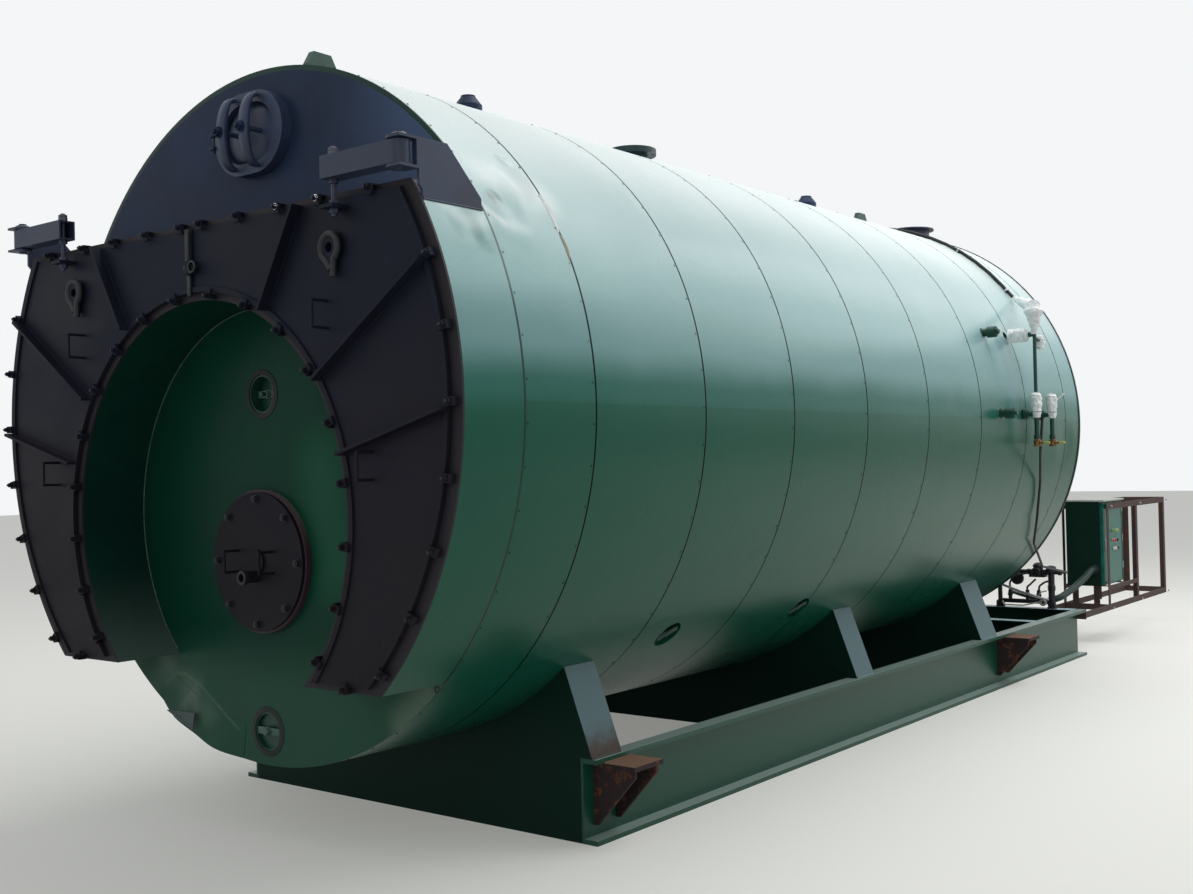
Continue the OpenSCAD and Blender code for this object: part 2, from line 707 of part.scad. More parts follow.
// Water level fittings on the right side
function shell_x(z) = sqrt(shell_r * shell_r - z * z);
function jacket_x(z) = sqrt(jacket_r * jacket_r - z * z);
column_d = 110;
column_h = 170;
column_low = -30;
head_z = level_z[0] + 10;
head_d = [60, 150, 80];
head_h = [190, 25];
sleeve_d = 112;
side_valve = [110, 70, 117]; // how far along, diameter, height
level_ports = [for (y = [level_y[0], level_y[1]]) [y, level_z[0]], for (y = level_y) [y, level_z[1]]];
module level_pipe_cuts(clear) {
  for (p = level_ports) translate([jacket_r / 2, p[0], p[1]]) rotate([0, 90, 0])
    cylinder(d = level_pipe_d + 2 * clear, h = jacket_r);
}
module side_stub(y, z, x1, d) {
  difference() {
    translate([shell_x(z) - 60, y, z]) rotate([0, 90, 0]) cylinder(d = d, h = x1 - shell_x(z) + 60);
    along_y(shell_r, y - 200, 400);
  }
}
module level_couplings() color(dark_green) at_shell() for (z = level_z) {
  side_stub(level_y[0], z, jacket_x(z) + 95, level_pipe_d);
  translate([jacket_x(z) + 40, level_y[0], z]) rotate([0, 90, 0]) cylinder(d = level_pipe_d * 1.4, h = 60);
}
// The parts in film: two bottles, and on column 1 a head, a side valve and a pipe sleeve.
module column_bodies() {
  for (y = [level_y[1], level_y[2]]) translate([level_x, y, level_z[1] + column_low]) {
    cylinder(d = column_d, h = column_h);
    translate([0, 0, column_h]) cylinder(d1 = column_d, d2 = 60, h = 25);
  }
  translate([level_x, level_y[1], head_z]) {
    cylinder(d1 = head_d[0], d2 = head_d[1], h = head_h[0]);
    translate([0, 0, head_h[0]]) cylinder(d1 = head_d[1], d2 = head_d[2], h = head_h[1]);
  }
  translate([level_x, level_y[1] + side_valve[0], level_z[0] - side_valve[2]])
    cylinder(d = side_valve[1], h = side_valve[2]);
  sleeve_x = jacket_x(level_z[0] - sleeve_d / 2) + through;
  translate([sleeve_x, level_y[1], level_z[0]]) rotate([0, 90, 0])
    cylinder(d = sleeve_d, h = level_x - 50 - sleeve_x);
}
module level_piping() color(dark_green) at_shell() difference() {
  pipe_d = level_pipe_d * 0.7;
  union() {
    for (p = [for (q = level_ports) if (q[0] > level_y[0]) q]) side_stub(p[0], p[1], level_x, pipe_d);
    for (y = [level_y[1], level_y[2]]) translate([level_x, y, level_z[1] - 200]) cylinder(d = pipe_d, h = 220);
    translate([level_x, level_y[1], level_z[1]]) cylinder(d = pipe_d, h = head_z + 20 - level_z[1]);
    translate([level_x, level_y[1], level_z[0] - 40]) rotate([-90, 0, 0]) cylinder(d = pipe_d, h = side_valve[0]);
  }
  column_bodies();
}
module float_columns() color("#e6ebee") at_shell() column_bodies();
module drain_cocks() color("#b08a30") at_shell() for (y = [level_y[1], level_y[2]]) {
  translate([level_x, y, level_z[1] - 250]) cylinder(d = 50, h = 50);
  translate([level_x + 20, y - 9, level_z[1] - 232]) cube([80, 18, 14]);
}

// Fuel line across the end of the skid
fuel_y = skid_y[1] - cross_w / 2;
fuel_z = 778;
fuel_d = 42;
post_x = 1095;
fuel_x = [589, 897, 1042, 1196]; // start, valve from and to, end
module fuel_line() color(black_steel) at_floor() {
  for (i = [0, 2]) translate([fuel_x[i], fuel_y, fuel_z]) rotate([0, 90, 0])
    cylinder(d = fuel_d, h = fuel_x[i + 1] - fuel_x[i]);
  translate([fuel_x[0], fuel_y, beam_h]) cylinder(d = fuel_d, h = fuel_z - beam_h);
  translate([fuel_x[0], fuel_y, fuel_z]) sphere(d = fuel_d);
  translate([post_x, fuel_y, beam_h]) cylinder(d = 60, h = fuel_z - beam_h);
  // lower manifold with its stubs
  translate([fuel_x[0], fuel_y, beam_h + 60]) rotate([0, 90, 0]) cylinder(d = fuel_d, h = post_x - fuel_x[0]);
  for (x = [690, 860, 970]) translate([x, fuel_y, beam_h + 60]) cylinder(d = 36, h = 110);
}
module fuel_valves() color(black_steel) at_floor() {
  translate([fuel_x[1], fuel_y - 50, fuel_z - 48]) cube([fuel_x[2] - fuel_x[1], 100, 70]);
  translate([(fuel_x[1] + fuel_x[2]) / 2, fuel_y, fuel_z + 22]) cylinder(d = 90, h = 30);
}

// Conduit over the shell to the head of column 1, and another down to the fuel line
conduit_d = 30;
hose_d = 22;
knuckle = 1.12;
conduit_y = shell_len - 640;
function on_jacket(a, y, out) = [(jacket_r + out) * sin(a), y, (jacket_r + out) * cos(a)];
module conduits() color("#26312f") at_shell() {
  arc_a = 55;
  arc_out = knuckle * conduit_d / 2 + fit_gap;
  arc_end = on_jacket(arc_a, conduit_y, arc_out);
  head_top = head_z + head_h[0] + head_h[1];
  translate([0, conduit_y, 0]) rotate([90, 0, 0]) rotate([0, 0, 90 - arc_a])
    rotate_extrude(angle = arc_a, $fn = big_fn) translate([jacket_r + arc_out, 0]) circle(d = conduit_d, $fn = rod_fn);
  translate(arc_end) sphere(d = knuckle * conduit_d, $fn = rod_fn);
  rod_path([arc_end, on_jacket(58, conduit_y - 210, 150), [level_x, level_y[1] + 60, head_top + 80],
    [level_x, level_y[1], head_top + 30], [level_x, level_y[1], head_top + fit_gap]], conduit_d, knuckle);
  hose_top = [level_x + 35, level_y[1] + 25, level_z[1] + column_low - fit_gap];
  rod_path([hose_top, hose_top - [0, 0, 20], [level_x, level_y[1] + 70, -230],
    on_jacket(105.8, shell_len - 862, 28), on_jacket(116.6, shell_len - 640, 36), on_jacket(124.6, shell_len - 380, 40),
    on_jacket(134.8, shell_len + 360, 56), [fuel_x[3] + 64, fuel_y, fuel_z - axis_h],
    [fuel_x[3] + fit_gap, fuel_y, fuel_z - axis_h]], hose_d, knuckle);
}

// Control panel in its transport cage at the end of the skid
cage_x = [skid_w / 2 - cage_in - cage_w, skid_w / 2 - cage_in];
panel_x = cage_x[1] - 30 - panel_size[0];
door_panel_t = 25;
shelf_h = 45;
module control_panel() color(dark_green) at_floor() {
  translate([panel_x, panel_y, panel_z])
    cube([panel_size[0] - door_panel_t, panel_size[1], panel_size[2]]);
  translate([panel_x, panel_y, panel_z + panel_size[2]])
    cube([panel_size[0] + 20, panel_size[1], 14]);
}
module panel_door() color(green) at_floor()
  translate([panel_x + panel_size[0] - door_panel_t, panel_y + 15, panel_z + 15])
    cube([door_panel_t, panel_size[1] - 30, panel_size[2] - 30]);
module angle_z(h, sx, sy) {
  linear_extrude(h) {
    translate([sx < 0 ? -angle_w : 0, sy < 0 ? -angle_t : 0]) square([angle_w, angle_t]);
    translate([sx < 0 ? -angle_t : 0, sy < 0 ? -angle_w : 0]) square([angle_t, angle_w]);
  }
}
module panel_cage() color(brown) at_floor() {
  y_mid = (cage_y[0] + cage_y[1]) / 2;
  top_z = cage_z + cage_h - angle_w;
  // flat posts beside the panel, angle posts at the middle and the end
  for (x = [cage_x[0], cage_x[1] - angle_t]) translate([x, cage_y[0], cage_z]) cube([angle_t, angle_w, cage_h]);
  for (y = [y_mid, cage_y[1]], x = cage_x) translate([x, y, cage_z]) angle_z(cage_h, x > cage_x[0] ? -1 : 1, -1);
  // rails along the skid; the lower ones start at its end
  for (x = [cage_x[0], cage_x[1] - angle_t]) {
    translate([x, skid_y[1], cage_z]) cube([angle_t, cage_y[1] - skid_y[1], angle_w]);
    translate([x, cage_y[0], top_z]) cube([angle_t, cage_y[1] - cage_y[0], angle_w]);
    // shelf under the panel
    translate([x, cage_y[0], panel_z - shelf_h]) cube([angle_t, y_mid - cage_y[0], shelf_h]);
  }
  // rails across the skid
  for (y = [cage_y[0], cage_y[1] - angle_t]) translate([cage_x[0], y, cage_z]) cube([cage_w, angle_t, angle_w]);
  translate([cage_x[0], cage_y[1] - angle_t, top_z]) cube([cage_w, angle_t, angle_w]);
  for (y = [cage_y[0], panel_y + panel_size[1] - 40 - angle_w]) translate([cage_x[0], y, panel_z - angle_t])
    cube([cage_w, angle_w, angle_t]);
  // legs between the front rail and the shelf
  for (x = [cage_x[0] + 90, cage_x[1] - 150]) translate([x, cage_y[0], cage_z])
    cube([angle_w, angle_t, panel_z - cage_z]);
  // plate that closes the beam end and carries the cage
  translate([beam_x, skid_y[1], cage_z]) cube([beam_flange_w, 12, beam_h - cage_z]);
}

pressure_shell();
jacket();
rear_head();
front_head();
casing_plate();
smokebox_walls();
smokebox_inner_wall();
smokebox_flange();
smokebox_band();
right_door();
left_door();
right_davit_bracket();
left_davit_bracket();
right_davit_arm();
left_davit_arm();
manway_ring();
manway_cover();
manway_yokes();
access_ring();
access_door();
casing_handholes();
side_handholes();
lifting_lugs();
relief_nozzles();
steam_nozzle();
vent_valve();
end_ring();
burner_end_smokebox();
burner_end_doors();
burner_plate();
stack_outlet();
skid_beam_right();
skid_beam_left();
skid_cross_members();
front_saddle();
middle_saddle();
rear_saddle();
jacking_brackets();
level_couplings();
level_piping();
float_columns();
drain_cocks();
conduits();
fuel_line();
fuel_valves();
control_panel();
panel_door();
panel_cage();
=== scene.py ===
# A fire-tube boiler on its steel skid, finished in glossy green enamel and black door paint.
# Metres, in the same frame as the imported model: +Y runs from the smokebox end to the burner end.
import math

import bmesh
import bpy
from mathutils import Matrix, Vector, noise


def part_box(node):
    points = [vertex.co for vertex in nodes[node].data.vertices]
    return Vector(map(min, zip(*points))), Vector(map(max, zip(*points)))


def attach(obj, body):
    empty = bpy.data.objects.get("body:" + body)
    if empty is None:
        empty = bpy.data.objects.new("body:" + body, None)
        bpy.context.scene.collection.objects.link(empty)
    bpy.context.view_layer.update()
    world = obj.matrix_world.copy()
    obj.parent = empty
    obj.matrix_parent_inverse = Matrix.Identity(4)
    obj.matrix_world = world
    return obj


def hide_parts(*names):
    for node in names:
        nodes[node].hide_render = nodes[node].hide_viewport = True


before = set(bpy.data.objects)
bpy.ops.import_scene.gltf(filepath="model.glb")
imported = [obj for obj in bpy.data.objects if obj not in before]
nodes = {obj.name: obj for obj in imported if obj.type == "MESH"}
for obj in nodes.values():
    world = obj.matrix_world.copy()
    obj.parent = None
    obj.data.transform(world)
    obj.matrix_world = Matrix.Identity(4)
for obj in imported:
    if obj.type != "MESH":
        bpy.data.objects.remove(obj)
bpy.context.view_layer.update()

MM = 0.001

# The boiler's own sizes, read from the frame.
head_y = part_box("rear_head")[0][1]
far_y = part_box("front_head")[1][1]
head_r = (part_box("rear_head")[1][0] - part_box("rear_head")[0][0]) / 2
axis_z = (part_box("rear_head")[0][2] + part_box("rear_head")[1][2]) / 2
jacket_r = (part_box("smokebox_flange")[1][0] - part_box("smokebox_flange")[0][0]) / 2
sb_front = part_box("smokebox_flange")[0][1]
sb_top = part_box("smokebox_flange")[1][2]
sb_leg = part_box("smokebox_flange")[0][2]
door_face = sb_front - 17 * MM
first_sheet = 500 * MM
sheet = 915 * MM
seam_ys = [head_y + first_sheet + i * sheet for i in range(8)]
seam_ys = [y for y in seam_ys if y < far_y - sheet / 6]
recess_z = axis_z - 498 * MM
recess_r = 1062 * MM
level_x = (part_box("drain_cocks")[0][0] + 25 * MM)
skid_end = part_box("skid_beam_right")[1][1]
beam_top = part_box("skid_beam_right")[1][2]
panel_low, panel_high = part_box("control_panel")


def boiler(x, y, z):
    """A place in metres from the shell axis at the smokebox head, put into the frame."""
    return Vector((x, head_y + y, axis_z + z))


# Colours are written as on a screen and used as light.
def linear(code):
    parts = [int(code[i:i + 2], 16) / 255 for i in (1, 3, 5)]
    return [p / 12.92 if p <= 0.04045 else ((p + 0.055) / 1.055) ** 2.4 for p in parts] + [1.0]


def add(tree, kind, links=None, **settings):
    """Adds a node; links maps an input to a value, a colour code or another node's output."""
    new = tree.nodes.new(kind)
    for name, value in settings.items():
        setattr(new, name, value)
    for key, value in (links or {}).items():
        socket = new.inputs[key]
        if isinstance(value, bpy.types.NodeSocket):
            tree.links.new(value, socket)
        elif isinstance(value, str) and value.startswith("#"):
            socket.default_value = linear(value)
        else:
            socket.default_value = value
    return new


class Finish:
    """A material under construction: object coordinates, masks and one Principled shader."""

    def __init__(self, name):
        self.material = bpy.data.materials.new(name)
        self.material.use_nodes = True
        self.tree = self.material.node_tree
        self.tree.nodes.clear()
        self.coords = add(self.tree, "ShaderNodeTexCoord").outputs["Object"]
        self.parts = add(self.tree, "ShaderNodeSeparateXYZ", {0: self.coords}).outputs
        self.facing = add(self.tree, "ShaderNodeSeparateXYZ",
                          {0: add(self.tree, "ShaderNodeNewGeometry").outputs["Normal"]}).outputs
        self.heights = []

    def sum(self, operation, a, b=0.0, c=0.0):
        return add(self.tree, "ShaderNodeMath", {0: a, 1: b, 2: c}, operation=operation).outputs[0]

    def noise(self, size, detail=3.0, rough=0.5, stretch=(1, 1, 1)):
        """Noise whose blobs are about size metres across."""
        place = add(self.tree, "ShaderNodeMapping", {"Vector": self.coords, "Scale": stretch})
        return add(self.tree, "ShaderNodeTexNoise",
                   {"Vector": place.outputs[0], "Scale": 1 / size, "Detail": detail,
                    "Roughness": rough}).outputs["Fac"]

    def ramp(self, value, low, high):
        """0 below low, 1 above high, smooth between them."""
        return add(self.tree, "ShaderNodeMapRange",
                   {"Value": value, "From Min": low, "From Max": high},
                   interpolation_type="SMOOTHSTEP").outputs["Result"]

    def mix(self, mask, under, over):
        both = {"Factor": mask}
        new = add(self.tree, "ShaderNodeMix", both, data_type="RGBA")
        for index, value in ((6, under), (7, over)):
            if isinstance(value, str):
                new.inputs[index].default_value = linear(value)
            else:
                self.tree.links.new(value, new.inputs[index])
        return new.outputs[2]

    def shades(self, value, low, high, steps):
        """Colours at even or uneven steps, given as (share from low to high, hex), blended smoothly."""
        share = add(self.tree, "ShaderNodeMapRange", {"Value": value, "From Min": low, "From Max": high}).outputs["Result"]
        new = add(self.tree, "ShaderNodeValToRGB", {"Fac": share})
        ramp = new.color_ramp
        ramp.interpolation = "EASE"
        while len(ramp.elements) < len(steps):
            ramp.elements.new(0.5)
        for element, (place, colour) in zip(ramp.elements, steps):
            element.position = place
            element.color = linear(colour)
        return new.outputs["Color"]

    def blend(self, mask, under, over):
        """A number that goes from under to over with the mask."""
        return add(self.tree, "ShaderNodeMapRange",
                   {"Value": mask, "To Min": under, "To Max": over}).outputs["Result"]

    def ball(self, centre, radius):
        """1 at centre, falling to 0 at radius."""
        gap = add(self.tree, "ShaderNodeVectorMath", {0: self.coords, 1: centre},
                  operation="DISTANCE").outputs["Value"]
        return self.ramp(gap, radius, 0.0)

    def along(self, start, end, width):
        """1 on the line from start to end, falling to 0 at width from it."""
        start, leg = Vector(start), Vector(end) - Vector(start)
        step = add(self.tree, "ShaderNodeVectorMath", {0: self.coords, 1: start}, operation="SUBTRACT").outputs[0]
        share = add(self.tree, "ShaderNodeVectorMath", {0: step, 1: leg / leg.length_squared},
                    operation="DOT_PRODUCT").outputs["Value"]
        share = add(self.tree, "ShaderNodeClamp", {"Value": share}).outputs[0]
        foot = add(self.tree, "ShaderNodeVectorMath", {0: leg, "Scale": share}, operation="SCALE").outputs[0]
        gap = add(self.tree, "ShaderNodeVectorMath", {0: step, 1: foot}, operation="DISTANCE").outputs["Value"]
        return self.ramp(gap, width, 0.0)

    def crease(self, centre, radius, way, depth):
        """A sheet kinked along a line through centre: it rises on the side that way points to."""
        step = add(self.tree, "ShaderNodeVectorMath", {0: self.coords, 1: centre}, operation="SUBTRACT").outputs[0]
        side = add(self.tree, "ShaderNodeVectorMath", {0: step, 1: Vector(way).normalized()},
                   operation="DOT_PRODUCT").outputs["Value"]
        rise = self.sum("DIVIDE", self.sum("MAXIMUM", side, 0.0), radius)
        self.raise_by(self.sum("MULTIPLY", rise, self.ball(centre, radius)), depth)

    def raise_by(self, value, depth):
        """Adds value times depth metres to the relief."""
        self.heights.append(self.sum("MULTIPLY", value, depth))

    def finish(self, colour, roughness, metallic=0.0, **sockets):
        links = {"Base Color": colour, "Roughness": roughness, "Metallic": metallic}
        links.update({key.replace("_", " "): value for key, value in sockets.items()})
        if self.heights:
            total = self.heights[0]
            for height in self.heights[1:]:
                total = self.sum("ADD", total, height)
            links["Normal"] = add(self.tree, "ShaderNodeBump",
                                  {"Height": total, "Distance": 1.0, "Strength": 1.0}).outputs[0]
        shader = add(self.tree, "ShaderNodeBsdfPrincipled", links)
        add(self.tree, "ShaderNodeOutputMaterial", {"Surface": shader.outputs[0]})
        return self.material


# Dents in the jacket sheets: place on the shell, radius, depth (a minus sign pushes in).
def on_shell(y, angle, radius=None):
    """A point on the jacket: metres from the head, degrees from the top towards +X."""
    r = jacket_r if radius is None else radius
    turn = math.radians(angle)
    return (r * math.sin(turn), head_y + y, axis_z + r * math.cos(turn))


# Place, radius and depth of the soft dents; place, radius, way and depth of the kinks.
JACKET_DENTS = [(on_shell(0.16, 60), 0.17, -0.016), (on_shell(0.390, 48.7), 0.060, -0.008),
                (on_shell(0.125, 58.3), 0.055, -0.009), (on_shell(0.34, 54), 0.15, 0.012),
                (on_shell(1.33, 52), 0.12, -0.006), (on_shell(1.52, 58), 0.22, 0.005),
                (on_shell(-0.17, 64.5), 0.13, -0.014), (on_shell(-0.05, 66), 0.10, 0.007),
                (on_shell(4.60, 84), 0.20, -0.004), (on_shell(6.90, 96), 0.25, -0.008)]
JACKET_KINKS = [(on_shell(0.245, 59.5), 0.24, (0.3, 1.0, -0.5), 0.018),
                (on_shell(0.50, 60), 0.14, (0.1, -1.0, 0.3), 0.010)]
# Painted highlights and painted shade along the folds by the davit: start and end as (metres from the head, degrees),
# width, colour and share.
FOLDS = [((-0.26, 61.2), (-0.12, 64.2), 0.070, "#e2ebea", 0.5), ((-0.12, 64.2), (-0.01, 62.6), 0.065, "#dde8e7", 0.5),
         ((-0.20, 66.5), (-0.03, 67.0), 0.100, "#6f9794", 0.35), ((0.02, 60.6), (0.11, 63.0), 0.034, "#eef3f1", 0.55),
         ((0.11, 63.0), (0.26, 63.4), 0.055, "#dfe9e8", 0.40), ((0.10, 58.2), (0.14, 58.9), 0.030, "#a8b3ae", 0.8),
         ((0.03, 64.6), (0.20, 66.6), 0.080, "#84a9a8", 0.5), ((0.16, 53.0), (0.50, 56.0), 0.180, "#f2f6f5", 0.55)]
CASING_DENTS = [((-0.76, head_y, axis_z - 1.51), 0.22, -0.020), ((-0.54, head_y, axis_z - 1.60), 0.14, 0.014),
                ((-0.95, head_y, axis_z - 1.28), 0.20, -0.012), ((1.18, head_y, axis_z - 1.26), 0.16, 0.014),
                ((0.62, head_y, axis_z - 0.60), 0.45, 0.012)]
# Painted highlights along the creases of the casing plate: a thin pale line and two broad pale patches, each with
# start, end, width, colour and share.
CASING_LINE = [Vector((x, head_y - 0.005, axis_z + z)) for x, z in
               ((-0.872, -1.425), (-0.790, -1.372), (-0.704, -1.363), (-0.560, -1.420), (-0.400, -1.520), (-0.241, -1.616))]
CASING_FOLDS = [(a, b, 0.016, "#5f7d6c", 0.40) for a, b in zip(CASING_LINE, CASING_LINE[1:])]
CASING_FOLDS += [((1.00, head_y - 0.005, axis_z - 1.47), (1.16, head_y - 0.005, axis_z - 1.30), 0.16, "#7c917f", 0.55),
                 ((0.45, head_y - 0.005, axis_z - 0.25), (0.55, head_y - 0.005, axis_z - 0.75), 0.30, "#2c6f52", 0.45)]
CASING_KINKS = [((-0.66, head_y, axis_z - 1.46), 0.26, (0.7, 0, -0.7), 0.050),
                ((-0.50, head_y, axis_z - 1.56), 0.20, (-0.9, 0, -0.3), 0.040),
                ((-0.86, head_y, axis_z - 1.36), 0.24, (-0.4, 0, -0.9), 0.028)]


def sheet_relief(f, dents, kinks):
    """What hand work leaves in thin sheet: slow waves, orange peel, dents and kinks."""
    f.raise_by(f.noise(0.60, 2.0, 0.4, (1, 0.6, 1)), 0.007)
    for centre, radius, depth in dents:
        f.raise_by(f.ball(centre, radius), depth)
    for centre, radius, way, depth in kinks:
        f.crease(centre, radius, way, depth)


def jacket_enamel():
    """Green alkyd gloss enamel sprayed on thin sheet: deep and clean below, paler above with dust and a painted sky
    reflection.
    """
    f = Finish("green_jacket_enamel")
    sheet_relief(f, JACKET_DENTS, JACKET_KINKS)
    # Painted sky reflection and dust: the colour steps from deep green to near white as the sheet rises and faces up.
    height = f.sum("DIVIDE", f.sum("SUBTRACT", f.parts["Z"], axis_z), jacket_r)
    lift = f.sum("MINIMUM", f.facing["Z"], height)
    lift = f.sum("ADD", lift, f.sum("MULTIPLY", f.sum("SUBTRACT", f.noise(0.8, 2.0), 0.5), 0.07))
    base = f.shades(lift, -0.25, 1.0, [(0.0, "#0c4d3b"), (0.165, "#0d523f"), (0.235, "#2b675c"), (0.33, "#779f9f"),
                                       (0.47, "#8fb2b4"), (0.62, "#b8d0d1"), (0.85, "#e2eeec")])
    grain = f.ramp(f.noise(0.5, 3.0, 0.5), 0.2, 0.9)
    base = f.mix(f.sum("MULTIPLY", f.sum("SUBTRACT", 1.0, grain), 0.07), base, "#3c6a60")
    # Folds by the davit: a painted highlight where the sheet turns up to the light, painted shade where it turns away.
    for start, end, width, colour, share in FOLDS:
        base = f.mix(f.sum("MULTIPLY", f.along(on_shell(*start), on_shell(*end), width), share), base, colour)
    # Blue-grey streaks below the spare coupling and the wrapped head: runs, and under the wrapped head mostly a painted
    # reflection of the white film.
    for y, width, top, low in ((5.455, 0.022, 0.62, 0.10), (5.720, 0.085, 0.62, -0.10), (6.020, 0.030, 0.50, 0.0)):
        away = f.sum("ABSOLUTE", f.sum("SUBTRACT", f.parts["Y"], head_y + y))
        wobble = f.sum("MULTIPLY", f.sum("SUBTRACT", f.noise(0.10, 2.0), 0.5), 0.03)
        run_and_reflection = f.ramp(f.sum("ADD", away, wobble), width, width * 0.5)
        run_and_reflection = f.sum("MULTIPLY", run_and_reflection, f.ramp(f.parts["Z"], axis_z + low, axis_z + low + 0.3))
        run_and_reflection = f.sum("MULTIPLY", run_and_reflection, f.ramp(f.parts["Z"], axis_z + top + 0.01, axis_z + top - 0.01))
        run_and_reflection = f.sum("MULTIPLY", run_and_reflection, f.ramp(f.parts["X"], 1.0, 1.2))
        base = f.mix(f.sum("MULTIPLY", run_and_reflection, 0.40), base, "#6f8f9c")
    # Lap seams: one at the head, then one every sheet, each drawn as a dark line of painted shade in its gap.
    away = f.sum("SUBTRACT", f.parts["Y"], seam_ys[0] - sheet / 2)
    away = f.sum("SUBTRACT", f.sum("FLOORED_MODULO", away, sheet), sheet / 2)
    away = f.sum("MINIMUM", f.sum("ABSOLUTE", away), f.sum("ABSOLUTE", f.sum("SUBTRACT", f.parts["Y"], head_y + 0.003)))
    line = f.ramp(away, 9 * MM, 5 * MM)
    base = f.mix(f.sum("MULTIPLY", line, 0.90), base, "#0b1f1a")
    rough = f.blend(f.noise(0.6, 1.0), 0.24, 0.30)
    return f.finish(base, rough, Specular_IOR_Level=0.32, Specular_Tint=linear("#a8e4d0"))


def casing_enamel(name, colour, level, dents=(), kinks=()):
    """The same enamel brushed on plate, drawn darker as a painted shade: a low sheen, and painted highlights on the
    bent corners.
    """
    f = Finish(name)
    sheet_relief(f, dents, kinks)
    patchy = f.ramp(f.noise(0.7, 4.0, 0.6), 0.3, 0.7)
    base = f.mix(f.sum("MULTIPLY", patchy, 0.35), colour, "#154c3a")
    base = f.mix(f.sum("MULTIPLY", f.ramp(f.parts["Z"], axis_z - 1.05, axis_z - 1.45), 0.55), base, "#3f6656")
    # Painted highlights: the kinked corners are drawn pale.
    for centre, radius, way, depth in kinks:
        base = f.mix(f.sum("MULTIPLY", f.ball(centre, radius * 0.7), 0.22), base, "#8aa08e")
    # Painted highlights along the casing's folds.
    for start, end, width, tint, share in (CASING_FOLDS if kinks else ()):
        base = f.mix(f.sum("MULTIPLY", f.along(start, end, width), share), base, tint)
    scuffs = f.ramp(f.noise(0.04, 4.0, 0.6), 0.66, 0.80)
    base = f.mix(f.sum("MULTIPLY", scuffs, 0.10), base, "#5d7a6c")
    facing_up = f.ramp(f.facing["Z"], 0.2, 0.9)
    base = f.mix(f.sum("MULTIPLY", facing_up, 0.30), base, "#8f9c92")
    return f.finish(base, f.blend(f.noise(0.3, 2.0), 0.30, 0.40), Specular_IOR_Level=level)


def door_black():
    """Black heat-resisting paint, brushed on plate: low sheen, brown haze and pale scuffs."""
    f = Finish("black_heat_resisting_paint")
    f.raise_by(f.noise(0.02, 3.0), 0.0003)
    f.raise_by(f.noise(0.5, 2.0), 0.004)
    haze = f.ramp(f.noise(0.7, 4.0, 0.6), 0.35, 0.7)
    low = f.ramp(f.parts["Z"], sb_top, sb_leg)
    base = f.mix(haze, "#171a26", "#1f2332")
    base = f.mix(f.sum("MULTIPLY", low, 0.75), base, "#241f22")
    scuffs = f.ramp(f.noise(0.03, 6.0, 0.7, (1, 1, 0.4)), 0.66, 0.74)
    base = f.mix(f.sum("MULTIPLY", scuffs, 0.30), base, "#504f56")
    return f.finish(base, f.blend(haze, 0.45, 0.62), Specular_IOR_Level=0.10)


def head_black():
    """Blue-black gloss paint on the boiler head: smooth, with dust, and a painted light that pales it towards +X."""
    f = Finish("blue_black_head_paint")
    f.raise_by(f.noise(0.8, 2.0), 0.006)
    haze = f.ramp(f.noise(0.5, 4.0, 0.6), 0.3, 0.75)
    base = f.mix(haze, "#283349", "#323e59")
    # Painted light: the head is drawn paler and bluer towards +X, the side the light comes from.
    base = f.mix(f.sum("MULTIPLY", f.ramp(f.parts["X"], 0.45, 1.45), 0.75), base, "#60769a")
    dirt = f.ramp(f.noise(0.04, 5.0, 0.7), 0.62, 0.78)
    base = f.mix(f.sum("MULTIPLY", dirt, 0.3), base, "#566068")
    return f.finish(base, f.blend(haze, 0.30, 0.44), Specular_IOR_Level=0.07)


def worn_steel(name, paint, rust, amount, rough=0.55, scale=0.12, dust_and_top_light="#9a968a", share=0.35, level=0.35,
               scorched=False):
    """Shop paint on rolled steel, worn through to rust where it was handled."""
    f = Finish(name)
    f.raise_by(f.noise(0.01, 4.0), 0.0004)
    spots = f.ramp(f.noise(scale, 7.0, 0.7), 0.72 - amount, 0.80 - amount)
    deep = f.ramp(f.noise(scale / 3, 6.0, 0.7), 0.45, 0.65)
    red = f.mix(deep, rust, "#3a2019")
    base = f.mix(spots, paint, red)
    # Up-facing faces go pale by the given share: dust, and where the share is high, as on the skid, saddles, lifting
    # brackets and panel body, a painted top light.
    facing_up = f.ramp(f.facing["Z"], 0.10, 0.75)
    base = f.mix(f.sum("MULTIPLY", facing_up, share), base, dust_and_top_light)
    if scorched:
        # Burnt brown where the lifting brackets were welded on below.
        low = f.sum("ADD", f.parts["Z"], f.sum("MULTIPLY", f.sum("SUBTRACT", f.noise(0.06, 4.0), 0.5), 0.16))
        burn = f.sum("MULTIPLY", f.ramp(low, beam_top + 0.17, beam_top + 0.02), f.ramp(f.facing["Z"], 0.02, 0.2))
        burn = f.sum("MULTIPLY", burn, f.ramp(f.parts["Y"], head_y + 2.4, head_y + 2.2))
        base = f.mix(f.sum("MULTIPLY", burn, 0.85), base, "#4f3a30")
    return f.finish(base, f.blend(spots, rough, 0.85), Specular_IOR_Level=level)


def shrink_film():
    """White polythene stretch film, wound and crumpled: pale, half gloss, with sharp folds."""
    f = Finish("white_polythene_film")
    f.raise_by(f.noise(0.03, 5.0, 0.6), 0.006)
    f.raise_by(f.noise(0.012, 3.0, 0.6, (1, 1, 0.3)), 0.002)
    fold = f.ramp(f.noise(0.03, 5.0, 0.6), 0.35, 0.6)
    return f.finish(f.mix(fold, "#dfe5e6", "#f6f8f8"), 0.32)


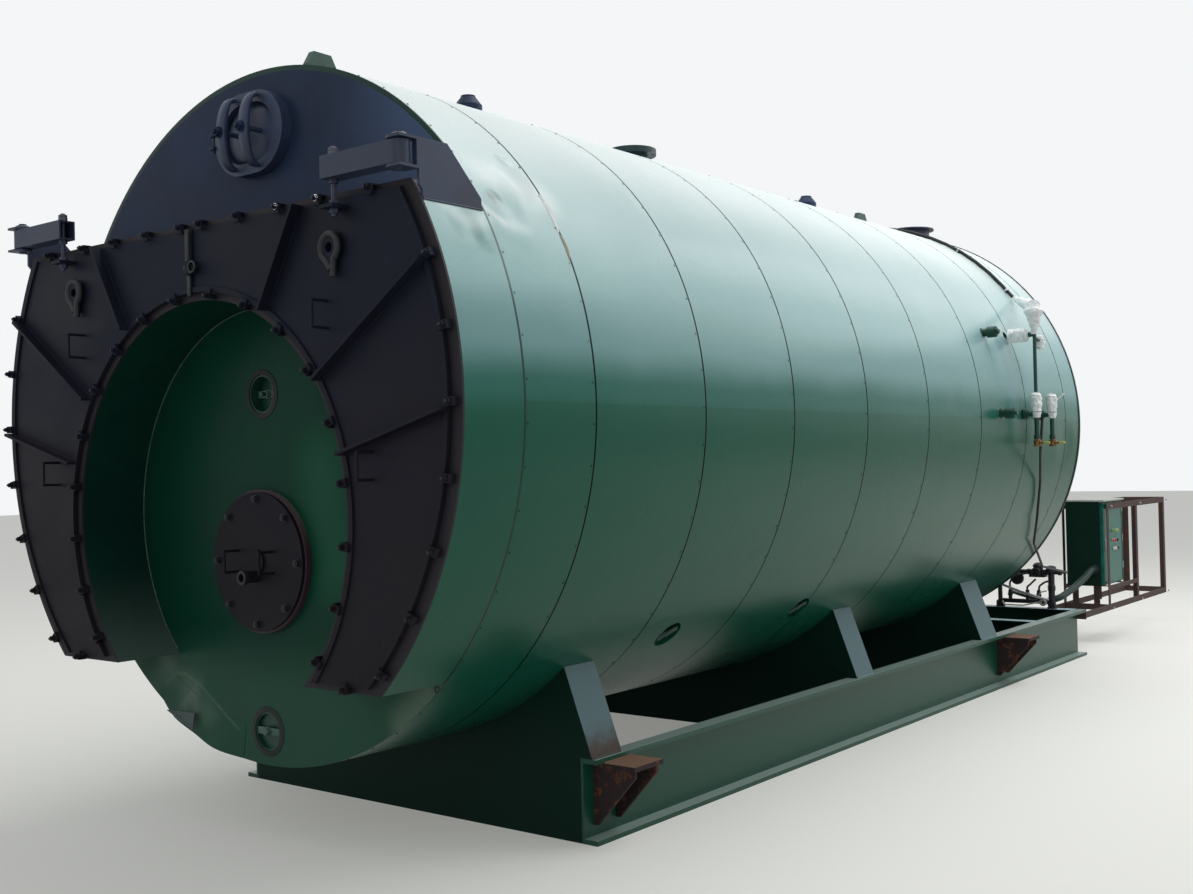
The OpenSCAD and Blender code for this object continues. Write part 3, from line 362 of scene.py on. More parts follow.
def plain(name, colour, rough, metallic=0.0, grain=0.01, relief=0.0002):
    """A plain finish with a fine grain and slight shade."""
    f = Finish(name)
    f.raise_by(f.noise(grain, 3.0), relief)
    shade = f.ramp(f.noise(grain * 12, 4.0, 0.6), 0.3, 0.7)
    dark = "#%02x%02x%02x" % tuple(int(int(colour[i:i + 2], 16) * 0.78) for i in (1, 3, 5))
    return f.finish(f.mix(shade, dark, colour), f.blend(shade, rough * 0.85, rough * 1.1), metallic,
                    Specular_IOR_Level=0.35)


jacket_paint = jacket_enamel()
casing_paint = casing_enamel("green_casing_enamel", "#0b3a2c", 0.07, CASING_DENTS, CASING_KINKS)
recess_paint = casing_enamel("dark_recess_enamel", "#0f302a", 0.05)
skid_paint = worn_steel("green_skid_enamel", "#144838", "#5b3626", 0.03, 0.36, 0.12, "#a8bab4", 0.75, 0.35)
saddle_paint = worn_steel("dark_green_saddle_enamel", "#0a2a21", "#3a261d", 0.04, 0.40, 0.12, "#a9c8d2", 0.92, 0.08,
                          scorched=True)
fitting_paint = plain("dark_green_fitting_enamel", "#1b4a3d", 0.40)
flange_paint = worn_steel("black_flange_paint", "#28252b", "#4b2c2c", 0.10, 0.6, 0.10, "#6e6a6c", 0.35, 0.22)
door_paint = door_black()
head_paint = head_black()
davit_paint = plain("dark_blue_davit_paint", "#39425a", 0.5, grain=0.02)
manway_paint = plain("blue_grey_manway_paint", "#3c4864", 0.45, grain=0.015)
burnt_steel = worn_steel("burnt_rusty_steel", "#33292a", "#6a4431", 0.20, 0.75, 0.07, "#96755f", 0.75, 0.2)
cage_primer = worn_steel("brown_primer_angle_iron", "#4b3f3c", "#6b4233", 0.18, 0.7, 0.06, "#8b847c", 0.2, 0.2)
film = shrink_film()
brass = plain("tarnished_brass", "#8f6d45", 0.42, 0.7)
worn_bright = worn_steel("worn_forged_steel", "#456257", "#5a4438", 0.05, 0.4, 0.05)
bridge_steel = worn_steel("dark_forged_bridge", "#2c4239", "#4a382e", 0.08, 0.5, 0.05, "#6f8078", 0.3, 0.3)
# Black joint ring, also painted shade for the handhole recesses.
joint_and_shade_black = plain("black_joint_compound_and_painted_shade", "#0d1a17", 0.6)
bare_edge = plain("bare_sheet_edge", "#a89f88", 0.45)
# A near-white painted highlight for the sprung sheet edge.
highlight_edge = plain("painted_highlight_sheet_edge", "#f4f6f4", 0.35)
lime_grip = plain("lime_vinyl_grip", "#ccd066", 0.45)
red_primer = worn_steel("red_lead_primer", "#43303a", "#5c2c30", 0.12, 0.6, 0.09)
pale_steel = worn_steel("pale_galvanised_strip", "#aeb7ae", "#7d6a58", 0.03, 0.45, 0.1)
steam_paint = plain("dark_teal_nozzle_paint", "#1f3a40", 0.45)
pale_fold = plain("grey_scraped_enamel", "#465a5d", 0.4)
dusty_seal = plain("dusty_seam_seal", "#4f6b5c", 0.7)
hose_green = plain("dark_green_rubber_hose", "#16342e", 0.5)
white_sleeve = plain("white_nylon_sleeve", "#d8dcd6", 0.4)
panel_paint = plain("teal_panel_enamel", "#1e6f60", 0.35)
# The panel body is drawn far darker than its teal door as painted shade, and its up-facing faces take a high share of
# painted top light.
panel_side = worn_steel("dark_panel_enamel", "#0f2c22", "#2c241c", 0.0, 0.35, 0.1, "#b3c0b8", 0.85, 0.3)
lamp_green = plain("green_lens", "#4fc24a", 0.2)
lamp_yellow = plain("yellow_lens", "#e6d84a", 0.2)
lamp_red = plain("red_lens", "#c4303a", 0.2)
lamp_white = plain("white_lens", "#f0f0ec", 0.2)
black_conduit = plain("black_plastic_conduit", "#1a2422", 0.5)
black_fitting = plain("black_cast_fitting", "#22252a", 0.55)
zinc = plain("bright_zinc_plating", "#b9bcc0", 0.30, 1.0)
dull_nut = plain("weathered_zinc", "#5d6068", 0.45, 0.6)

MATERIAL_OF = {
    "pressure_shell": head_paint, "jacket": jacket_paint, "rear_head": head_paint,
    "front_head": head_paint, "casing_plate": casing_paint,
    "smokebox_walls": davit_paint, "smokebox_inner_wall": recess_paint,
    "smokebox_flange": flange_paint, "smokebox_band": jacket_paint,
    "right_door": door_paint, "left_door": door_paint,
    "right_davit_bracket": davit_paint, "left_davit_bracket": davit_paint,
    "right_davit_arm": davit_paint, "left_davit_arm": davit_paint,
    "manway_ring": manway_paint, "manway_cover": manway_paint, "manway_yokes": manway_paint,
    "access_ring": red_primer, "access_door": door_paint,
    "casing_handholes": fitting_paint, "side_handholes": fitting_paint,
    "lifting_lugs": fitting_paint, "relief_nozzles": head_paint,
    "steam_nozzle": steam_paint, "vent_valve": fitting_paint,
    "end_ring": black_fitting, "burner_end_smokebox": door_paint,
    "burner_end_doors": door_paint, "burner_plate": davit_paint, "stack_outlet": davit_paint,
    "skid_beam_right": skid_paint, "skid_beam_left": skid_paint,
    "skid_cross_members": saddle_paint, "front_saddle": saddle_paint,
    "middle_saddle": saddle_paint, "rear_saddle": saddle_paint,
    "jacking_brackets": burnt_steel, "level_couplings": fitting_paint,
    "level_piping": fitting_paint, "float_columns": film, "drain_cocks": brass,
    "conduits": black_conduit, "fuel_line": black_fitting, "fuel_valves": black_fitting,
    "control_panel": panel_side, "panel_door": panel_paint, "panel_cage": cage_primer,
}
for name, finish in MATERIAL_OF.items():
    for place in nodes[name].material_slots:
        place.material = finish


# Fasteners: one tree sets a hexagon head, a washer and a shank at every point.
def fastener_tree():
    tree = bpy.data.node_groups.new("fasteners", "GeometryNodeTree")
    face = tree.interface
    face.new_socket("Places", in_out="INPUT", socket_type="NodeSocketGeometry")
    for name in ("Head Width", "Head Height", "Washer Width", "Washer Height", "Shank Width",
                 "Shank Height"):
        face.new_socket(name, in_out="INPUT", socket_type="NodeSocketFloat")
    face.new_socket("Finish", in_out="INPUT", socket_type="NodeSocketMaterial")
    face.new_socket("Fasteners", in_out="OUTPUT", socket_type="NodeSocketGeometry")
    given = add(tree, "NodeGroupInput").outputs

    def half(socket):
        return add(tree, "ShaderNodeMath", {0: socket, 1: 0.5}, operation="MULTIPLY").outputs[0]

    def disc(width, height, base, sides):
        """A cylinder that stands on base, along +Z."""
        body = add(tree, "GeometryNodeMeshCylinder",
                   {"Vertices": sides, "Radius": half(width), "Depth": height}).outputs["Mesh"]
        middle = add(tree, "ShaderNodeMath", {0: half(height), 1: base}, operation="ADD").outputs[0]
        lift = add(tree, "ShaderNodeCombineXYZ", {"Z": middle}).outputs[0]
        return add(tree, "GeometryNodeTransform", {"Geometry": body, "Translation": lift}).outputs[0]

    head = disc(given["Head Width"], given["Head Height"], given["Washer Height"], 6)
    washer = disc(given["Washer Width"], given["Washer Height"], 0.0, 16)
    shank = disc(given["Shank Width"], given["Shank Height"], 0.0, 10)
    join = add(tree, "GeometryNodeJoinGeometry")
    for part in (head, washer, shank):
        tree.links.new(part, join.inputs[0])
    facing = add(tree, "GeometryNodeInputNamedAttribute", {"Name": "facing"},
                 data_type="FLOAT_VECTOR").outputs["Attribute"]
    turn = add(tree, "FunctionNodeAlignRotationToVector", {"Vector": facing}, axis="Z").outputs[0]
    points = add(tree, "GeometryNodeMeshToPoints", {"Mesh": given["Places"]}).outputs[0]
    copies = add(tree, "GeometryNodeInstanceOnPoints",
                 {"Points": points, "Instance": join.outputs[0], "Rotation": turn}).outputs[0]
    real = add(tree, "GeometryNodeRealizeInstances", {"Geometry": copies}).outputs[0]
    painted = add(tree, "GeometryNodeSetMaterial",
                  {"Geometry": real, "Material": given["Finish"]}).outputs[0]
    add(tree, "NodeGroupOutput", {"Fasteners": painted})
    return tree


FASTENERS = fastener_tree()


def keep(obj, body):
    """Ties a finished piece to its body."""
    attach(obj, body)
    return obj


def spots(name, points, **vectors):
    """A cloud of points, each with its own vectors such as the way it faces."""
    cloud = bpy.data.meshes.new(name + "_places")
    cloud.from_pydata([tuple(p) for p in points], [], [])
    for key, values in vectors.items():
        way = cloud.attributes.new(key, "FLOAT_VECTOR", "POINT")
        for i, vector in enumerate(values):
            way.data[i].vector = vector
    return cloud


def wires(name, paths):
    """One mesh with a line of edges for each path."""
    points, edges = [], []
    for path in paths:
        first = len(points)
        points += [tuple(p) for p in path]
        edges += [(i, i + 1) for i in range(first, len(points) - 1)]
    mesh = bpy.data.meshes.new(name + "_lines")
    mesh.from_pydata(points, edges, [])
    return mesh


def run_tree(name, tree, start, sizes, finish, body):
    """Runs a tree on a mesh of places or lines and keeps the plain mesh that comes out."""
    holder = bpy.data.objects.new(name + "_start", start)
    bpy.context.scene.collection.objects.link(holder)
    modifier = holder.modifiers.new("repeat", "NODES")
    modifier.node_group = tree
    given = dict(sizes)
    given["Finish"] = finish
    for item in tree.interface.items_tree:
        if item.in_out == "INPUT" and item.name in given:
            modifier[item.identifier] = given[item.name]
    shape = bpy.context.evaluated_depsgraph_get()
    mesh = bpy.data.meshes.new_from_object(holder.evaluated_get(shape))
    mesh.name = name
    bpy.data.objects.remove(holder)
    piece = bpy.data.objects.new(name, mesh)
    bpy.context.scene.collection.objects.link(piece)
    return keep(piece, body)


def bolts(name, points, facing, size, finish, body, stick_out=1.6):
    """Hexagon heads on washers; size is the thread, in millimetres."""
    facings = facing if isinstance(facing, list) else [facing] * len(points)
    width = size * MM
    sizes = {"Head Width": 1.9 * width, "Head Height": 0.8 * width, "Washer Width": 2.3 * width,
             "Washer Height": 0.18 * width, "Shank Width": width, "Shank Height": stick_out * width}
    return run_tree(name, FASTENERS, spots(name, points, facing=facings), sizes, finish, body)


# Door dogs: a strap that bears on the door's edge, its heel on the flange, and a nut on washer.
def dog_tree():
    tree = bpy.data.node_groups.new("door_dogs", "GeometryNodeTree")
    face = tree.interface
    face.new_socket("Places", in_out="INPUT", socket_type="NodeSocketGeometry")
    for name in ("Length", "Heel", "Width", "Thickness", "Lift", "Nut Width", "Nut Height"):
        face.new_socket(name, in_out="INPUT", socket_type="NodeSocketFloat")
    face.new_socket("Finish", in_out="INPUT", socket_type="NodeSocketMaterial")
    face.new_socket("Dogs", in_out="OUTPUT", socket_type="NodeSocketGeometry")
    given = add(tree, "NodeGroupInput").outputs

    def work(operation, a, b=0.0):
        return add(tree, "ShaderNodeMath", {0: a, 1: b}, operation=operation).outputs[0]

    def block(long, wide, tall, x, z):
        size = add(tree, "ShaderNodeCombineXYZ", {"X": long, "Y": wide, "Z": tall}).outputs[0]
        place = add(tree, "ShaderNodeCombineXYZ", {"X": x, "Z": z}).outputs[0]
        body = add(tree, "GeometryNodeMeshCube", {"Size": size}).outputs["Mesh"]
        return add(tree, "GeometryNodeTransform", {"Geometry": body, "Translation": place}).outputs[0]

    def disc(radius, tall, z, sides):
        body = add(tree, "GeometryNodeMeshCylinder",
                   {"Vertices": sides, "Radius": radius, "Depth": tall}).outputs["Mesh"]
        place = add(tree, "ShaderNodeCombineXYZ", {"Z": z}).outputs[0]
        return add(tree, "GeometryNodeTransform", {"Geometry": body, "Translation": place}).outputs[0]

    half_thick = work("MULTIPLY", given["Thickness"], 0.5)
    middle = work("SUBTRACT", work("MULTIPLY", given["Length"], 0.5), given["Heel"])
    strap = block(given["Length"], given["Width"], given["Thickness"], middle,
                  work("ADD", given["Lift"], half_thick))
    heel_long = work("MULTIPLY", given["Heel"], 0.45)
    heel_x = work("SUBTRACT", work("MULTIPLY", heel_long, 0.5), given["Heel"])
    heel = block(heel_long, given["Width"], given["Lift"], heel_x, work("MULTIPLY", given["Lift"], 0.5))
    top = work("ADD", given["Lift"], given["Thickness"])
    washer_tall = work("MULTIPLY", given["Nut Height"], 0.2)
    washer = disc(work("MULTIPLY", given["Nut Width"], 0.62), washer_tall,
                  work("ADD", top, work("MULTIPLY", washer_tall, 0.5)), 14)
    nut = disc(work("MULTIPLY", given["Nut Width"], 0.56), given["Nut Height"],
               work("ADD", work("ADD", top, washer_tall), work("MULTIPLY", given["Nut Height"], 0.5)), 6)
    join = add(tree, "GeometryNodeJoinGeometry")
    for part in (strap, heel, washer, nut):
        tree.links.new(part, join.inputs[0])

    def way(name):
        return add(tree, "GeometryNodeInputNamedAttribute", {"Name": name},
                   data_type="FLOAT_VECTOR").outputs["Attribute"]

    turn = add(tree, "FunctionNodeAlignRotationToVector", {"Vector": way("facing")}, axis="Z").outputs[0]
    turn = add(tree, "FunctionNodeAlignRotationToVector", {"Rotation": turn, "Vector": way("along")},
               axis="X", pivot_axis="Z").outputs[0]
    points = add(tree, "GeometryNodeMeshToPoints", {"Mesh": given["Places"]}).outputs[0]
    copies = add(tree, "GeometryNodeInstanceOnPoints",
                 {"Points": points, "Instance": join.outputs[0], "Rotation": turn}).outputs[0]
    real = add(tree, "GeometryNodeRealizeInstances", {"Geometry": copies}).outputs[0]
    painted = add(tree, "GeometryNodeSetMaterial",
                  {"Geometry": real, "Material": given["Finish"]}).outputs[0]
    add(tree, "NodeGroupOutput", {"Dogs": painted})
    return tree


# Tubes, hoses and weld beads: a round section drawn along lines, with soft bends and rings.
def tube_tree():
    tree = bpy.data.node_groups.new("tubes", "GeometryNodeTree")
    face = tree.interface
    face.new_socket("Lines", in_out="INPUT", socket_type="NodeSocketGeometry")
    for name in ("Diameter", "Bend Radius", "Step", "Ring Pitch", "Ring Depth"):
        face.new_socket(name, in_out="INPUT", socket_type="NodeSocketFloat")
    face.new_socket("Sides", in_out="INPUT", socket_type="NodeSocketInt")
    face.new_socket("Finish", in_out="INPUT", socket_type="NodeSocketMaterial")
    face.new_socket("Tubes", in_out="OUTPUT", socket_type="NodeSocketGeometry")
    given = add(tree, "NodeGroupInput").outputs
    line = add(tree, "GeometryNodeMeshToCurve", {"Mesh": given["Lines"]}).outputs[0]
    bent = add(tree, "GeometryNodeFilletCurve",
               {"Curve": line, "Count": 8, "Radius": given["Bend Radius"], "Limit Radius": True},
               mode="POLY").outputs[0]
    even = add(tree, "GeometryNodeResampleCurve", {"Curve": bent, "Length": given["Step"]},
               mode="LENGTH").outputs[0]
    along = add(tree, "GeometryNodeSplineParameter").outputs["Length"]
    turns = add(tree, "ShaderNodeMath", {0: along, 1: given["Ring Pitch"]}, operation="DIVIDE").outputs[0]
    angle = add(tree, "ShaderNodeMath", {0: turns, 1: 2 * math.pi}, operation="MULTIPLY").outputs[0]
    wave = add(tree, "ShaderNodeMath", {0: angle}, operation="SINE").outputs[0]
    width = add(tree, "ShaderNodeMath", {0: wave, 1: given["Ring Depth"], 2: 1.0},
                operation="MULTIPLY_ADD").outputs[0]
    half = add(tree, "ShaderNodeMath", {0: given["Diameter"], 1: 0.5}, operation="MULTIPLY").outputs[0]
    section = add(tree, "GeometryNodeCurvePrimitiveCircle",
                  {"Resolution": given["Sides"], "Radius": half}).outputs[0]
    body = add(tree, "GeometryNodeCurveToMesh",
               {"Curve": even, "Profile Curve": section, "Scale": width, "Fill Caps": True}).outputs[0]
    smooth = add(tree, "GeometryNodeSetShadeSmooth", {"Geometry": body}).outputs[0]
    real = add(tree, "GeometryNodeRealizeInstances", {"Geometry": smooth}).outputs[0]
    painted = add(tree, "GeometryNodeSetMaterial",
                  {"Geometry": real, "Material": given["Finish"]}).outputs[0]
    add(tree, "NodeGroupOutput", {"Tubes": painted})
    return tree


DOGS = dog_tree()
TUBES = tube_tree()


def tubes(name, paths, diameter, finish, body, bend=0.05, step=0.012, pitch=1.0, ring=0.0, sides=14):
    """Bent tubes along paths of points, in metres."""
    sizes = {"Diameter": diameter, "Bend Radius": bend, "Step": step, "Ring Pitch": pitch,
             "Ring Depth": ring, "Sides": sides}
    return run_tree(name, TUBES, wires(name, paths), sizes, finish, body)


def beads(name, paths, width, finish, body):
    """Weld beads: low ropes with a ripple every 7 mm."""
    return tubes(name, paths, width, finish, body, 0.002, 0.0035, 0.007, 0.12, 8)


class Shape:
    """Closed forms gathered into one mesh."""

    def __init__(self):
        self.form = bmesh.new()

    def loft(self, rings, loop=False):
        """Joins rings of points; a loop closes on itself and the rest get end faces."""
        rows = [[self.form.verts.new(p) for p in ring] for ring in rings]
        count = len(rows[0])
        pairs = list(zip(rows, rows[1:]))
        if loop:
            pairs.append((rows[-1], rows[0]))
        for low, high in pairs:
            for i in range(count):
                j = (i + 1) % count
                self.form.faces.new((low[i], low[j], high[j], high[i]))
        if not loop:
            self.form.faces.new(list(reversed(rows[0])))
            self.form.faces.new(rows[-1])

    def turned(self, base, axis, profile, sides=32, loop=False):
        """A lathe form: profile holds (radius, height) from base along axis, in metres."""
        spin = Vector(axis).to_track_quat("Z", "Y")
        steps = [2 * math.pi * i / sides for i in range(sides)]
        self.loft([[Vector(base) + spin @ Vector((r * math.cos(t), r * math.sin(t), h)) for t in steps]
                   for r, h in profile], loop)

    def wheel(self, centre, axis, radius, bar, sides=36):
        """A round ring of bar."""
        steps = [2 * math.pi * i / 10 for i in range(10)]
        self.turned(centre, axis, [(radius + bar * math.cos(t), bar * math.sin(t)) for t in steps],
                    sides, loop=True)

    def box(self, low, high, bevel=0.002, turn=None, about=None):
        """A block with rounded edges; turn is a matrix about a point."""
        low, high = Vector(low), Vector(high)
        size = high - low
        place = Matrix.Translation((low + high) / 2) @ Matrix.Diagonal((*size, 1))
        if turn is not None:
            pin = Matrix.Translation(about if about is not None else (low + high) / 2)
            place = pin @ turn @ pin.inverted() @ place
        new = bmesh.ops.create_cube(self.form, size=1, matrix=place)["verts"]
        edges = list({edge for vert in new for edge in vert.link_edges})
        bmesh.ops.bevel(self.form, geom=edges, offset=bevel, segments=2, affect="EDGES", profile=0.5)

    def made(self, name, finish, body, slot, smooth=35):
        """Turns the forms into a piece; edges sharper than smooth degrees stay crisp."""
        bmesh.ops.recalc_face_normals(self.form, faces=self.form.faces)
        for face in self.form.faces:
            face.smooth = True
        for edge in self.form.edges:
            if len(edge.link_faces) == 2 and edge.calc_face_angle(0) > math.radians(smooth):
                edge.smooth = False
        mesh = bpy.data.meshes.new(name)
        self.form.to_mesh(mesh)
        self.form.free()
        mesh.materials.append(finish)
        piece = bpy.data.objects.new(name, mesh)
        bpy.context.scene.collection.objects.link(piece)
        return keep(piece, body)


def circle(centre, radius, count, first=0.0, axis="Y"):
    """Points on a circle round an axis; angles from the top towards +X."""
    out = []
    for i in range(count):
        turn = math.radians(first + 360 * i / count)
        a, b = radius * math.sin(turn), radius * math.cos(turn)
        step = (a, 0, b) if axis == "Y" else (a, b, 0)
        out.append(Vector(centre) + Vector(step))
    return out


# The dogs that hold the half doors: places on the flange, and the way to the door's edge.
def door_stations():
    places = [((x, sb_top - axis_z - 14 * MM), (0.0, -1.0)) for x in (0.080, 0.370, 0.665, 0.945, 1.280)]
    for i in range(9):
        turn = math.radians(7.5 + 14.8 * i)
        ray = (math.sin(turn), math.cos(turn))
        places.append(((1.081 * ray[0], recess_z - axis_z + 1.081 * ray[1]), ray))
    for i in range(7):
        turn = math.radians(69.5 + 10.4 * i)
        ray = (math.sin(turn), math.cos(turn))
        places.append(((1.738 * ray[0], 1.738 * ray[1]), (-ray[0], -ray[1])))
    places.append(((1.056, sb_leg - axis_z + 14 * MM), (0.0, 1.0)))
    return places


flange_y = sb_front - head_y
DOG = {"Length": 48 * MM, "Heel": 16 * MM, "Width": 38 * MM, "Thickness": 14 * MM, "Lift": 27.5 * MM,
       "Nut Width": 24 * MM, "Nut Height": 15 * MM}
STUD = {"Head Width": 22 * MM, "Head Height": 7 * MM, "Washer Width": 24 * MM, "Washer Height": 1 * MM,
        "Shank Width": 14 * MM, "Shank Height": 68 * MM}
stud_points = []
for side, body in ((1, "right_half_door"), (-1, "left_half_door")):
    label = body.split("_")[0]
    stations = [(boiler(side * x, flange_y, z), Vector((side * a, 0, b))) for (x, z), (a, b) in door_stations()]
    stud_points += [place for place, _ in stations]
    cloud = spots(label + "_door_dogs", [place for place, _ in stations],
                  facing=[(0, -1, 0)] * len(stations), along=[way for _, way in stations])
    run_tree(label + "_door_dogs", DOGS, cloud, DOG, door_paint, body)
run_tree("door_studs", FASTENERS, spots("door_studs", stud_points, facing=[(0, -1, 0)] * len(stud_points)),
         STUD, black_fitting, "boiler")
# Two nuts at the top of the right door are new and still bright.
bolts("new_door_nuts", [boiler(x, flange_y - 44 * MM, 0.929) for x in (0.665, 0.945)], (0, -1, 0), 14,
      zinc, "right_half_door", 0.9)

# The clamp at the split: a bolt through both halves, and a ring to pull it by.
clamp_z = 0.721
clamp = Shape()
clamp.turned(boiler(0.0265, -0.4185, clamp_z), (1, 0, 0), [(0.017, 0), (0.017, 0.012), (0.011, 0.013), (0.011, 0.022)], 6)
clamp.wheel(boiler(0.040, -0.440, clamp_z), (0, 1, 0), 0.026, 0.006)
clamp.made("clamp_bolt", black_fitting, "right_half_door", "dark_steel")
catch = Shape()
catch.turned(boiler(-0.0265, -0.4185, clamp_z), (-1, 0, 0), [(0.017, 0), (0.017, 0.012), (0.008, 0.013), (0.008, 0.024)], 6)
catch.made("clamp_nut", black_fitting, "left_half_door", "dark_steel")

strap = Shape()
strap.box(boiler(-0.030, -0.419, 0.585), boiler(-0.003, -0.400, 0.688), 0.003)
strap.box(boiler(-0.034, -0.426, 0.754), boiler(-0.003, -0.400, 0.912), 0.004)
strap.made("split_cover_strap", black_fitting, "left_half_door", "dark_steel")

# Teardrop eyes bent from round bar, welded over the lifting lugs of the doors.
for side, label in ((1, "right"), (-1, "left")):
    loop = []
    for step in range(41):
        turn = math.radians(-62 + 304 * step / 40)
        loop.append(boiler(side * 1.028 + 0.056 * math.cos(turn), -0.424, 0.700 + 0.060 * math.sin(turn)))
    tail = [boiler(side * 1.028 + 0.022, -0.424, 0.570), boiler(side * 1.028 + 0.024, -0.424, 0.610)]
    loop = tail + loop + [boiler(side * 1.028 + 0.010, -0.424, 0.600)]
    tubes(label + "_teardrop_eye", [loop], 0.032, black_fitting, label + "_half_door", 0.004, 0.008, 0.05, 0.01, 12)

# Weathered zinc nuts and thread on the hanger rods.
for side, body in ((1, "right_davit"), (-1, "left_davit")):
    hanger = boiler(side * 1.090, -0.446, 1.0875)
    nuts = Shape()
    nuts.turned(hanger, (0, 0, 1), [(0.030, 0.0), (0.030, 0.003), (0.0235, 0.0032), (0.0235, 0.021),
                                    (0.0205, 0.0235)], 6)
    nuts.turned(hanger + Vector((0, 0, 0.0236)), (0, 0, 1), [(0.0225, 0), (0.0225, 0.011), (0.019, 0.013)], 6)
    nuts.turned(hanger + Vector((0, 0, 0.036)), (0, 0, 1), [(0.0124, 0), (0.0124, 0.005), (0.010, 0.0065)], 20)
    nuts.made(body + "_rod_nuts", dull_nut, body, "blue_paint")

# Manway: broad forged yokes, a dished lid, nuts and a hinge lug.
manway_z = 1.447
yokes = Shape()
for x in (-0.0893, 0.0893):
    rings = []
    for step in range(25):
        turn = math.radians(-90 + 180 * step / 24)
        up, out = math.sin(turn), math.cos(turn)
        wide, half = 0.020 + 0.012 * out, 0.010 + 0.007 * out
        y, z = -0.0725 - 0.080 * out ** 0.8, 0.178 * up
        rings.append([boiler(x + a * wide, y - b * half * out, manway_z + z + b * half * up)
                      for a, b in ((-1, -0.6), (-0.8, -1), (0.8, -1), (1, -0.6), (1, 0.6), (0.8, 1), (-0.8, 1), (-1, 0.6))])
    yokes.loft(rings)
    yokes.turned(boiler(x, -0.020, manway_z), (0, -1, 0), [(0.013, 0), (0.013, 0.170)], 16)
yoke_piece = yokes.made("manway_forged_yokes", manway_paint, "boiler", "blue_paint", 50)
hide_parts("manway_yokes")
lid = Shape()
rings = []
for share, out in ((1.0, 0.0), (0.97, 0.010), (0.86, 0.019), (0.66, 0.027), (0.40, 0.032), (0.12, 0.034)):
    row = []
    for step in range(64):
        turn = 2 * math.pi * step / 64
        straight = 0.0505 * (1 if math.cos(turn) > 0 else -1) * min(1.0, abs(math.cos(turn)) * 6)
        row.append(boiler(share * (straight + 0.1505 * math.cos(turn)), -0.0204 - out, manway_z + share * 0.1505 * math.sin(turn)))
    rings.append(row)
lid.loft(rings)
lid.made("manway_dished_lid", manway_paint, "boiler", "dark_steel", 50)
bolts("manway_nuts", [boiler(x, -0.171, manway_z) for x in (-0.0893, 0.0893)], (0, -1, 0), 26,
      head_paint, "boiler", 1.5)
hinge = Shape()
for side in (-1, 1):
    hinge.box(boiler(-0.305, -0.075, manway_z + side * 0.034 - 0.009), boiler(-0.262, -0.030, manway_z + side * 0.034 + 0.009), 0.004)
hinge.turned(boiler(-0.288, -0.052, manway_z - 0.055), (0, 0, 1), [(0.009, 0), (0.009, 0.110)], 16)
hinge.made("manway_hinge_lugs", head_paint, "boiler", "blue_paint")

# Round access door: bolts, and the elbow on its sight tube.
access_z = -0.735
bolts("access_door_bolts", circle(boiler(0, -0.054, access_z), 0.318, 8), (0, -1, 0), 20,
      black_fitting, "boiler", 1.2)
sight = Shape()
sight.turned(boiler(0, -0.150, access_z - 0.075), (0, -1, 0), [(0.036, -0.018), (0.036, 0.004), (0.022, 0.005),
                                                           (0.022, -0.006)], 32, loop=True)
sight.made("sight_tube_lip", black_fitting, "boiler", "dark_steel")

# A line of dusty sealer where the recess wall meets the casing plate, and an eyelet in the corner.
seal_path = []
for step in range(97):
    turn = math.radians(-134.0 + 268.0 * step / 96)
    seal_path.append(Vector((1.0595 * math.sin(turn), head_y - 0.0065, recess_z + 1.0595 * math.cos(turn))))
tubes("recess_sealer", [seal_path], 0.007, dusty_seal, "boiler", 0.001, 0.012, 0.05, 0.15, 6)
eyelet = Shape()
eyelet.turned(boiler(1.215, -0.0045, -1.285), (0, -1, 0), [(0.010, 0), (0.017, 0), (0.017, 0.002), (0.010, 0.002)], 24, loop=True)
eyelet.made("corner_eyelet", black_fitting, "boiler", "green_paint")

# Handholes in the casing: a black ring round each hole, a joint that also stands in as painted shade of a wider recess,
# and a forged yoke with its nut in each cup.
for label, z, depth in (("upper", 0.118, 0.044), ("lower", -1.603, 0.002)):
    ring = Shape()
    ring.turned(boiler(0, -0.0035, z), (0, -1, 0), [(0.097, 0), (0.128, 0), (0.126, 0.004), (0.099, 0.006)], 64, loop=True)
    ring.made(label + "_handhole_joint_and_shade_ring", joint_and_shade_black, "boiler", "dark_green")
    yoke = Shape()
    yoke.box(boiler(-0.086, depth - 0.006, z - 0.019), boiler(0.086, depth + 0.004, z + 0.019), 0.004)
    yoke.turned(boiler(0, depth - 0.006, z), (0, -1, 0), [(0.026, 0), (0.026, 0.003), (0.021, 0.0032),
                                                       (0.021, 0.020), (0.018, 0.023)], 6)
    yoke.made(label + "_handhole_yoke", worn_bright, "boiler", "dark_green")

# The casing's lower edge, bent out and torn on the left, with one pale turned-over corner.
torn = Shape()
rings = []
for step in range(29):
    t = step / 28
    turn = math.radians(-149.5 - 24 * t)
    swell = math.sin(math.pi * t) * (0.72 + 0.28 * math.sin(9 * t + 0.6))
    line = []
    for radius, out in ((1.585, 0.0052), (1.660, 0.006 + 0.012 * swell), (1.715, 0.006 + 0.034 * swell),
                        (1.7745, 0.006 + 0.052 * swell)):
        line.append(boiler(radius * math.sin(turn), -out, radius * math.cos(turn)))
    rings.append(line + [p + Vector((0, 0.0015, 0)) for p in reversed(line)])
torn.loft(rings)
torn.made("bent_casing_edge", casing_paint, "boiler", "green_paint", 60)
corner = Shape()
front = [boiler(-0.800, -0.058, -1.560), boiler(-0.555, -0.066, -1.640), boiler(-0.575, -0.040, -1.560)]
corner.loft([front, [p + Vector((0, 0.004, -0.006)) for p in front]])
corner.made("turned_casing_corner", pale_fold, "boiler", "green_paint", 60)

